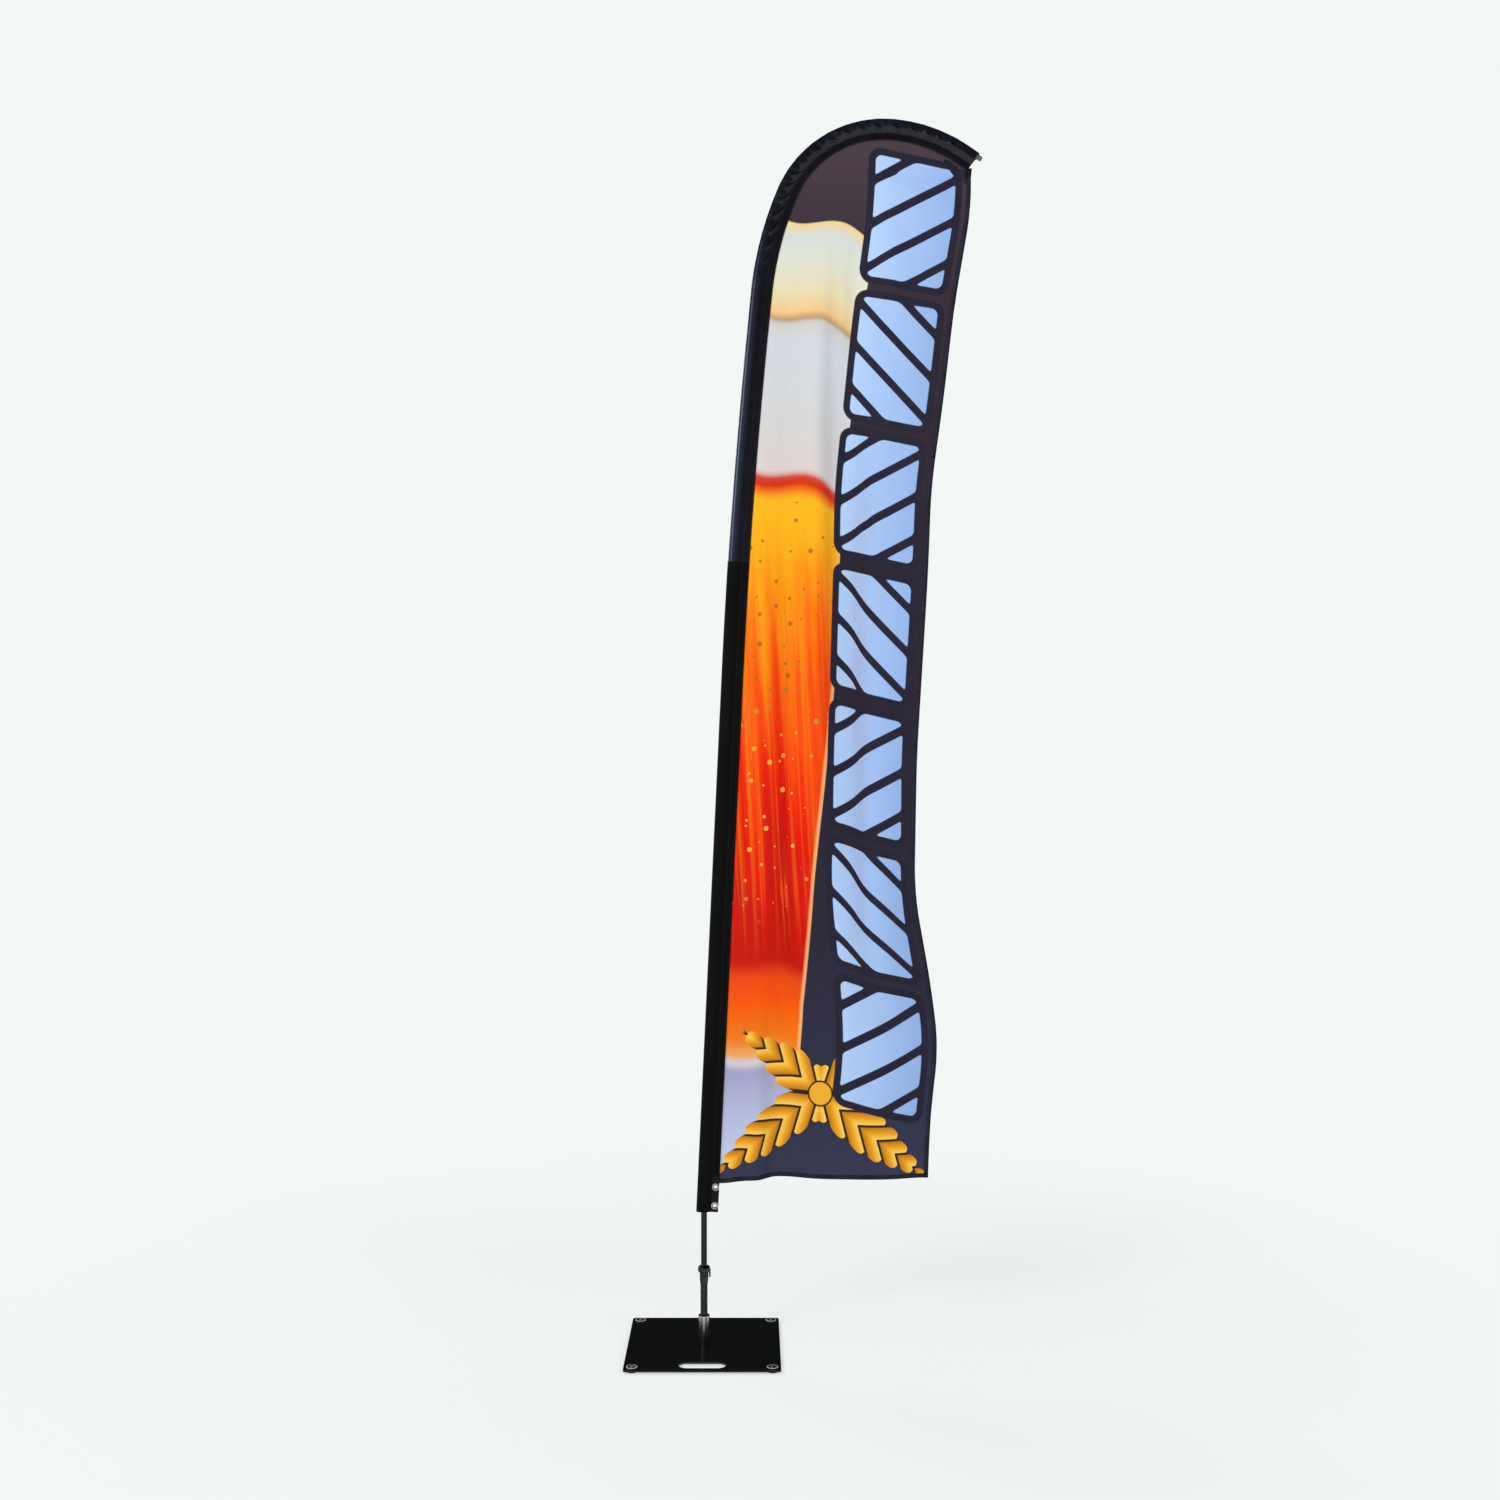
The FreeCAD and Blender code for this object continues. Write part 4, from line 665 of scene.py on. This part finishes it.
LEAF = [(0.0, "#2a2018"), (0.14, "#3a2a16"), (0.2, "#c47c16"), (0.55, "#ee9f1f"),
        (0.8, "#fbc040"), (1.0, "#ffd264")]
WAVE, WAVES = 0.016, 24.0    # the bands' waves: height in metres, radians a metre
BAND_SLOPE = 0.22        # how the bands fall away from the sleeve
TONGUE = 1.5             # how far the tongues reach up and down
IN_AMBER, OUT_OF_AMBER = (1.02, 1.20), (2.22, 1.95)      # heights between which they grow
BUBBLE_EVERY = 24.0      # bubbles a metre
SIDE = (0.205, 0.255)    # from the sewn edge to the bands' end, at the lower and upper height
SIDE_HEIGHTS = (0.9, 1.73)
ART_TOP = (2.981, 2.977)     # the height where the bands end: nothing shows, all shows

# Wavy bands of colour beside the sleeve, with long tongues where one runs into the next.
tongue_place = add(tree, "ShaderNodeCombineXYZ",
                   maths(tree, "MULTIPLY_ADD", inside, 17.0, maths(tree, "MULTIPLY", z, 1.8)),
                   maths(tree, "MULTIPLY", z, 0.9), 0.0)
tongues = add(tree, "ShaderNodeTexNoise", tongue_place, None, 1.0, 4.0, 0.6)
in_amber = maths(tree, "MULTIPLY", add(tree, "ShaderNodeMapRange", z, *IN_AMBER, 0.0, 1.0),
                 add(tree, "ShaderNodeMapRange", z, *OUT_OF_AMBER, 0.0, 1.0))
swing = maths(tree, "MULTIPLY", maths(tree, "SUBTRACT", tongues, 0.56), in_amber)
wave = maths(tree, "SINE", maths(tree, "MULTIPLY_ADD", inside, WAVES, 1.2))
slope = maths(tree, "MULTIPLY_ADD", inside, BAND_SLOPE, z)
waved = maths(tree, "MULTIPLY_ADD", wave, WAVE, slope)
band_place = maths(tree, "MULTIPLY_ADD", swing, TONGUE, waved)


def blend(value, stops):
    """The colour at a value, blended between stops of (value, colour)."""
    low, high = stops[0][0], stops[-1][0]
    made = add(tree, "ShaderNodeValToRGB",
               add(tree, "ShaderNodeMapRange", value, low, high, 0.0, 1.0))
    marks = made.color_ramp.elements
    while len(marks) < len(stops):
        marks.new(0.5)
    for mark, (at, code) in zip(marks, stops):
        mark.position = (at - low) / (high - low)
        mark.color = linear(code)
    return made


field, bands = blend(z, FIELD), blend(band_place, BANDS)

# Fine upright streaks and small round bubbles in the amber.
streaks = add(tree, "ShaderNodeTexNoise",
              add(tree, "ShaderNodeMapping", tongue_place, None, None, Vector((4, 1.0, 1))),
              None, 1.0, 2.0, 0.5)
streaked = add(tree, "ShaderNodeMixRGB",
               maths(tree, "MULTIPLY",
                     add(tree, "ShaderNodeMapRange", streaks, 0.5, 0.74, 0.0, 0.36), in_amber),
               bands, linear("#ff9a1e"))
bubbles = add(tree, "ShaderNodeTexVoronoi",
              add(tree, "ShaderNodeCombineXYZ", inside, z, 0.0), None, BUBBLE_EVERY,
              voronoi_dimensions="2D")
some = add(tree, "ShaderNodeSeparateXYZ", bubbles.outputs["Color"])
size = add(tree, "ShaderNodeMapRange", some.outputs[0], 0.35, 1.0, 0.0, 0.17)
bubble = maths(tree, "MULTIPLY", maths(tree, "LESS_THAN", bubbles.outputs["Distance"], size),
               add(tree, "ShaderNodeMapRange", z, 1.10, 1.30, 0.0, 0.85))
bubble_on = maths(tree, "MULTIPLY", bubble, maths(tree, "LESS_THAN", waved, 2.24))
bubble_tone = add(tree, "ShaderNodeMixRGB",
                  add(tree, "ShaderNodeMapRange", z, 1.5, 1.75, 0.0, 1.0),
                  linear("#ffb84e"), linear("#b0661a"))
art = add(tree, "ShaderNodeMixRGB", bubble_on, streaked, bubble_tone)

# The bands stop short of the middle, at their own wavy top, and above the crossed sprigs.
side_line = add(tree, "ShaderNodeMapRange", z, *SIDE_HEIGHTS, *SIDE)
rim_light = maths(tree, "SUBTRACT", side_line, inside)
art = add(tree, "ShaderNodeMixRGB",
          maths(tree, "MULTIPLY",
                add(tree, "ShaderNodeMapRange", rim_light, 0.012, 0.006, 0.0, 0.75),
                add(tree, "ShaderNodeMapRange", z, 2.3, 1.9, 0.0, 1.0)), art, linear("#f7c07a"))
CROSS = (0.318, 0.672)   # where the two sprigs cross: X, Z
ARM_SLOPE = 0.74         # how steeply the bands' lower end follows the sprigs
off_x = maths(tree, "SUBTRACT", x, CROSS[0])
off_z = maths(tree, "SUBTRACT", z, CROSS[1])
aside = maths(tree, "ABSOLUTE", off_x)
above = maths(tree, "ABSOLUTE", off_z)
over_arm = maths(tree, "GREATER_THAN", maths(tree, "MULTIPLY_ADD", aside, ARM_SLOPE, off_z), 0.0)
on_side = add(tree, "ShaderNodeMapRange", rim_light, -0.001, 0.001, 0.0, 1.0)
under_top = add(tree, "ShaderNodeMapRange", waved, *ART_TOP, 0.0, 1.0)
show_art = maths(tree, "MULTIPLY", maths(tree, "MULTIPLY", on_side, under_top), over_arm)
shown = add(tree, "ShaderNodeMixRGB", show_art, field, art)

# Two sprigs of gold leaves, tied where they cross near the bottom.
ARM = (0.804, 0.595)     # a sprig's direction, across and up
UPPER_ARM, LOWER_MORE = 0.275, 0.080     # the upper arms' length, and how much longer the lower
TAPER = 0.16             # the last part of an arm, where the leaves get smaller
LEAF_HALF, TIP_HALF = 0.056, 0.008       # half an arm's width, before the taper and at its end
LEAVES, SWEEP = 16.0, 21.0       # pairs of leaves a metre, and how far they sweep back
NOTCH = -0.05            # how much the width falls from the middle of a leaf to its ends
KNOT, KNOT_EDGE = (0.028, 0.031), 0.034      # radius where its dark edge begins, and ends
along = maths(tree, "MULTIPLY_ADD", above, ARM[1], maths(tree, "MULTIPLY", aside, ARM[0]))
off_arm = maths(tree, "SUBTRACT", maths(tree, "MULTIPLY", above, ARM[0]),
                maths(tree, "MULTIPLY", aside, ARM[1]))
off_arm = maths(tree, "ABSOLUTE", off_arm)
leaf_at = maths(tree, "SUBTRACT", maths(tree, "MULTIPLY", along, LEAVES),
                maths(tree, "MULTIPLY", off_arm, SWEEP))
leaf_part = maths(tree, "FRACT", leaf_at)
leaf_tone = blend(leaf_part, LEAF)
notch = maths(tree, "SUBTRACT", leaf_part, 0.5)
scallop = maths(tree, "MULTIPLY", notch, notch)
low_arm = maths(tree, "LESS_THAN", off_z, 0.0)
arm_end = maths(tree, "MULTIPLY_ADD", low_arm, LOWER_MORE, UPPER_ARM)
narrows = maths(tree, "SUBTRACT", arm_end, TAPER)
tip_narrow = add(tree, "ShaderNodeMapRange", along, narrows, arm_end, LEAF_HALF, TIP_HALF)
leaf_width = maths(tree, "MULTIPLY_ADD", scallop, NOTCH, tip_narrow)
on_leaf = maths(tree, "LESS_THAN", off_arm, leaf_width)
sprig = maths(tree, "MULTIPLY", on_leaf, maths(tree, "LESS_THAN", along, arm_end))
shown = add(tree, "ShaderNodeMixRGB", sprig, shown, leaf_tone)
off_knot = add(tree, "ShaderNodeVectorMath",
               add(tree, "ShaderNodeCombineXYZ", off_x, off_z, 0.0),
               operation="LENGTH").outputs["Value"]
knot_tone = add(tree, "ShaderNodeMixRGB",
                add(tree, "ShaderNodeMapRange", off_knot, *KNOT, 0.0, 1.0),
                linear("#f3ae30"), linear("#2a2018"))
shown = add(tree, "ShaderNodeMixRGB", maths(tree, "LESS_THAN", off_knot, KNOT_EDGE), shown,
            knot_tone)

# Seven pale blue blocks down the free edge, cut into slanted bars and outlined in dark blue.
LOWEST, PITCH = 0.794, 0.3614    # height of the lowest block, and from one to the next
COLUMN = 0.148           # from the free edge to the middle of the blocks
BLOCK_TILT, BAR_SLANT = -0.22, 0.75
BAR_EVERY, BAR_HALF = 0.112, 0.043       # from bar to bar, and half a pale bar's width
BLOCK_CORE = (0.088, 0.136)      # half a block without its rounding: across, up
BLOCK_ROUND, BAR_ROUND = 0.018, 0.012
OUTLINE = (0.020, 0.0175)        # how far the outline reaches beyond a block
from_middle = maths(tree, "SUBTRACT", outside, COLUMN)
from_lowest = maths(tree, "SUBTRACT", z, LOWEST)
tilted = maths(tree, "MULTIPLY_ADD", from_middle, BLOCK_TILT, from_lowest)
local = maths(tree, "WRAP", tilted, PITCH / 2, -PITCH / 2)
turn = maths(tree, "SIGN", maths(tree, "COSINE", maths(tree, "MULTIPLY", tilted, math.pi / PITCH)))
slant = maths(tree, "MULTIPLY_ADD", maths(tree, "MULTIPLY", turn, from_middle), BAR_SLANT, local)
bar = maths(tree, "ABSOLUTE", maths(tree, "WRAP", slant, BAR_EVERY / 2, -BAR_EVERY / 2))
off_bar = maths(tree, "SUBTRACT", bar, BAR_HALF)
corner = add(tree, "ShaderNodeVectorMath",
             add(tree, "ShaderNodeVectorMath",
                 add(tree, "ShaderNodeCombineXYZ", from_middle, local, 0.0),
                 operation="ABSOLUTE"),
             Vector((*BLOCK_CORE, 0)), operation="SUBTRACT")
beyond = add(tree, "ShaderNodeVectorMath", corner, Vector((0, 0, 0)), operation="MAXIMUM")
off_block = maths(tree, "SUBTRACT",
                  add(tree, "ShaderNodeVectorMath", beyond, operation="LENGTH").outputs["Value"],
                  BLOCK_ROUND)
edge = maths(tree, "SMOOTH_MAX", off_block, off_bar, BAR_ROUND)
in_column = maths(tree, "COMPARE", tilted, 3 * PITCH, 3.5 * PITCH)
outline = maths(tree, "MULTIPLY", add(tree, "ShaderNodeMapRange", off_block, *OUTLINE, 0.0, 1.0),
                in_column)
block = maths(tree, "MULTIPLY", add(tree, "ShaderNodeMapRange", edge, 0.001, -0.001, 0.0, 1.0),
              in_column)
shown = add(tree, "ShaderNodeMixRGB", outline, shown, linear("#272434"))
shade = add(tree, "ShaderNodeMixRGB",
            add(tree, "ShaderNodeMapRange", from_middle, -0.1, 0.1, 0.0, 1.0),
            linear("#93b3e4"), linear("#b0cdf5"))
shown = add(tree, "ShaderNodeMixRGB", block, shown, shade)

# The knit's loops, 0.75 mm apart, and over them soft upright creases from packing.
KNIT = 1.2 * MM          # a wave's stripes are 0.63 of this apart
loops = add(tree, "ShaderNodeTexWave", cut, 1 / (KNIT * 2), 0.0, 0.0, bands_direction="X")
courses = add(tree, "ShaderNodeTexWave", cut, 1 / (KNIT * 2), 0.0, 0.0, bands_direction="Y")
knit = maths(tree, "MULTIPLY", loops.outputs["Fac"], courses.outputs["Fac"])
creases = add(tree, "ShaderNodeTexNoise",
              add(tree, "ShaderNodeMapping", cut, None, None, Vector((22, 3, 1))),
              None, 1.0, 3.0, 0.55, None, None, None, 0.4)
soft = add(tree, "ShaderNodeBump", 0.35, 6 * MM, None, creases.outputs[0])
relief = add(tree, "ShaderNodeBump", 0.3, 0.1 * MM, None, knit, soft)
fade = add(tree, "ShaderNodeTexNoise", cut, None, 7.0, 4.0, 0.6)
faded = add(tree, "ShaderNodeMixRGB",
            add(tree, "ShaderNodeMapRange", fade, 0.4, 0.75, 0.0, 0.02),
            shown, linear("#7c7884"))
feed(printed, Base_Color=faded, Normal=relief)
panel.data.materials.append(printed)
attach(panel, "flag_and_upper_pole")
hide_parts("flag_panel")


# ---- Hems, corner patch and strap ---------------------------------------------------------
# The free edge and the lower edge are turned over and stitched. The upper corner has a patch
# of the same cloth over it, and a short webbing strap that pulls the flag over the pole.

HEM_THICK, CORNER_THICK = 0.0014, 0.0018
HEM_ROW, HEM_ROW_HALF = 0.0095, 0.0007       # the row of stitches, from the hem's edge
HEM_STITCH_ON = 0.0042   # a stitch without its gap
CORNER_SIDES = 0.052     # the corner patch's width and height together
CORNER_WIDE = 0.07       # and no part of it is further from the corner than this

hem_cloth = surface("turned hem of printed polyester", "#201e2b", 0.75,
                    Specular_IOR_Level=0.12, Sheen_Weight=0.02)
tree = hem_cloth.node_tree
edges = add(tree, "ShaderNodeUVMap", uv_map="edges")
cut = add(tree, "ShaderNodeUVMap", uv_map="cut")
up = add(tree, "ShaderNodeSeparateXYZ", cut).outputs[1]
tone = add(tree, "ShaderNodeTexNoise", cut, None, 30.0, 4.0, 0.6)
from_edge = add(tree, "ShaderNodeSeparateXYZ", edges).outputs[1]
row = maths(tree, "COMPARE", from_edge, HEM_ROW, HEM_ROW_HALF)
beat = maths(tree, "LESS_THAN", maths(tree, "WRAP", up, STITCH, 0.0), HEM_STITCH_ON)
stitches = maths(tree, "MULTIPLY", row, beat)
hem_tone = add(tree, "ShaderNodeMixRGB",
               add(tree, "ShaderNodeMapRange", tone, 0.35, 0.7, 0.0, 1.0),
               linear("#1e1c29"), linear("#2a2836"))
puckers = add(tree, "ShaderNodeTexNoise",
              add(tree, "ShaderNodeMapping", cut, None, None, Vector((60, 160, 1))),
              None, 1.0, 2.0, 0.5)
feed(hem_cloth, Base_Color=add(tree, "ShaderNodeMixRGB", stitches, hem_tone, linear("#3a3848")),
     Normal=add(tree, "ShaderNodeBump", 0.5, 0.6 * MM, None,
                maths(tree, "ADD", stitches, puckers)))


def turned_over(name, node, belongs, thickness):
    """A doubled part of the panel: a copy of the cells that belong to it, made thicker."""
    bm = bmesh.new()
    bm.from_mesh(panel.data)
    spare = [f for f in bm.faces
             if not belongs(min(cell_of[v.index][0] for v in f.verts),
                            min(cell_of[v.index][1] for v in f.verts))]
    bmesh.ops.delete(bm, geom=spare, context="FACES")
    piece = as_piece(bm, name)
    piece.data.materials.clear()
    piece.data.materials.append(hem_cloth)
    thicken(piece, "turned cloth", thickness)
    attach(piece, "flag_and_upper_pole")
    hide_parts(node)
    return piece


edge_hem = turned_over("free_edge_hem_fold", "free_edge_hem",
                       lambda j, k: j == COLUMNS - 1 and heights[k] < EDGE_HIGH[1],
                       HEM_THICK)
lower_hem = turned_over("lower_hem_fold", "bottom_hem",
                        lambda j, k: k == 0, HEM_THICK)


def at_corner(j, k):
    """Whether the cell is in the upper corner, under the patch, and not in the hem."""
    x, _, z = cut_rows[k][j]
    aside, below = EDGE_HIGH[0] - x, EDGE_HIGH[1] - z
    return aside + below < CORNER_SIDES and aside < CORNER_WIDE and j < COLUMNS - 1


corner_patch = turned_over("corner_patch_cloth", "tip_patch", at_corner, CORNER_THICK)

STRAP_WIDE, STRAP_THICK = 0.0118, 0.001
STRAP_DOWN = 0.0292      # from the strap's fold to the end of its longer leg
STRAP_LEGS = 1.7         # both legs together, in lengths of the longer one
STRAP_OUT = 0.0022       # from the flag's middle to the nearer leg
LEG_GAP = 0.0013

strap_low, strap_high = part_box("tip_strap")
bm = bmesh.new()
bmesh.ops.create_grid(bm, x_segments=8, y_segments=24, size=0.5)
layer = bm.loops.layers.uv.new("cloth")
cells = {}
for vert in bm.verts:
    u, v = vert.co.x, vert.co.y + 0.5
    cells[vert] = (v * 0.05, u * 0.012)
    folded = v * STRAP_LEGS
    down = folded if folded < 1 else 2 - folded
    bow = 0.0012 * math.sin(math.pi * down)
    out = -STRAP_OUT - (LEG_GAP if folded > 1 else 0) - bow
    middle = (strap_low.x + strap_high.x) / 2 - 0.003 * down
    vert.co = (middle + u * STRAP_WIDE, out, strap_high.z - STRAP_DOWN * down)
unwrap(bm, layer, cells)
bmesh.ops.recalc_face_normals(bm, faces=bm.faces)
strap = as_piece(bm, "tip_strap_webbing")
strap.data.materials.append(webbing)
thicken(strap, "webbing thickness", STRAP_THICK)
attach(strap, "flag_and_upper_pole")
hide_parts("tip_strap")


# ---- Studio -------------------------------------------------------------------------------
# A pale seamless floor that runs into the background, one large soft light from the left in
# front, a weaker one from the right, and a level camera.

BACKGROUND = "#f3f7f6"

bm = bmesh.new()
bmesh.ops.create_circle(bm, cap_ends=True, radius=40, segments=96)
mesh = bpy.data.meshes.new("studio_floor")
bm.to_mesh(mesh)
bm.free()
floor = bpy.data.objects.new("studio_floor", mesh)
scene.collection.objects.link(floor)

paper = bpy.data.materials.new("matt pale studio paper")
paper.use_nodes = True
tree = paper.node_tree
tree.nodes.clear()
place = add(tree, "ShaderNodeTexCoord").outputs["Object"]
away = add(tree, "ShaderNodeVectorMath", place, operation="LENGTH").outputs["Value"]
even = add(tree, "ShaderNodeMapRange", away, 0.5, 2.8, 0.6, 1.0,
           interpolation_type="SMOOTHSTEP")
glow = add(tree, "ShaderNodeEmission", linear(BACKGROUND), 1.0)
matt = add(tree, "ShaderNodeBsdfDiffuse", linear(BACKGROUND), 0.5)
mixed = add(tree, "ShaderNodeMixShader", even, matt, glow)
add(tree, "ShaderNodeOutputMaterial", mixed)
floor.data.materials.append(paper)

world = bpy.data.worlds.new("studio")
scene.world = world
world.use_nodes = True
tree = world.node_tree
tree.nodes.clear()
path = add(tree, "ShaderNodeLightPath")
around = add(tree, "ShaderNodeBackground", linear("#eef2f4"), 0.56)
dim = add(tree, "ShaderNodeBackground", linear("#dfe6ee"), 0.03)
plain = add(tree, "ShaderNodeBackground", linear(BACKGROUND), 1.0)
lit = add(tree, "ShaderNodeMixShader", path.outputs["Is Glossy Ray"], around, dim)
seen = add(tree, "ShaderNodeMixShader", path.outputs["Is Camera Ray"], lit, plain)
add(tree, "ShaderNodeOutputWorld", seen)

for name, place, size, power in (("key", (-2.8, -3.4, 3.4), 1.5, 92),
                                 ("fill", (3.4, -2.8, 2.4), 1.6, 38),
                                 ("rim", (-2.0, 2.6, 3.2), 1.2, 50)):
    light = bpy.data.lights.new(name, "AREA")
    light.size, light.energy = size, power
    lamp = bpy.data.objects.new(name, light)
    lamp.location = place
    lamp.rotation_mode = "QUATERNION"
    lamp.rotation_quaternion = (Vector((0.2, 0, 1.3)) - lamp.location).to_track_quat("-Z", "Y")
    lamp.visible_glossy = name != "fill"
    scene.collection.objects.link(lamp)

lens = bpy.data.cameras.new("camera")
lens.sensor_width, lens.lens = 36, 40.94
camera = bpy.data.objects.new("camera", lens)
camera.location = (0.121, -4.49, 1.5705)
camera.rotation_euler = (math.radians(90), 0, 0)
scene.collection.objects.link(camera)
scene.camera = camera
scene.view_settings.view_transform = "Standard"
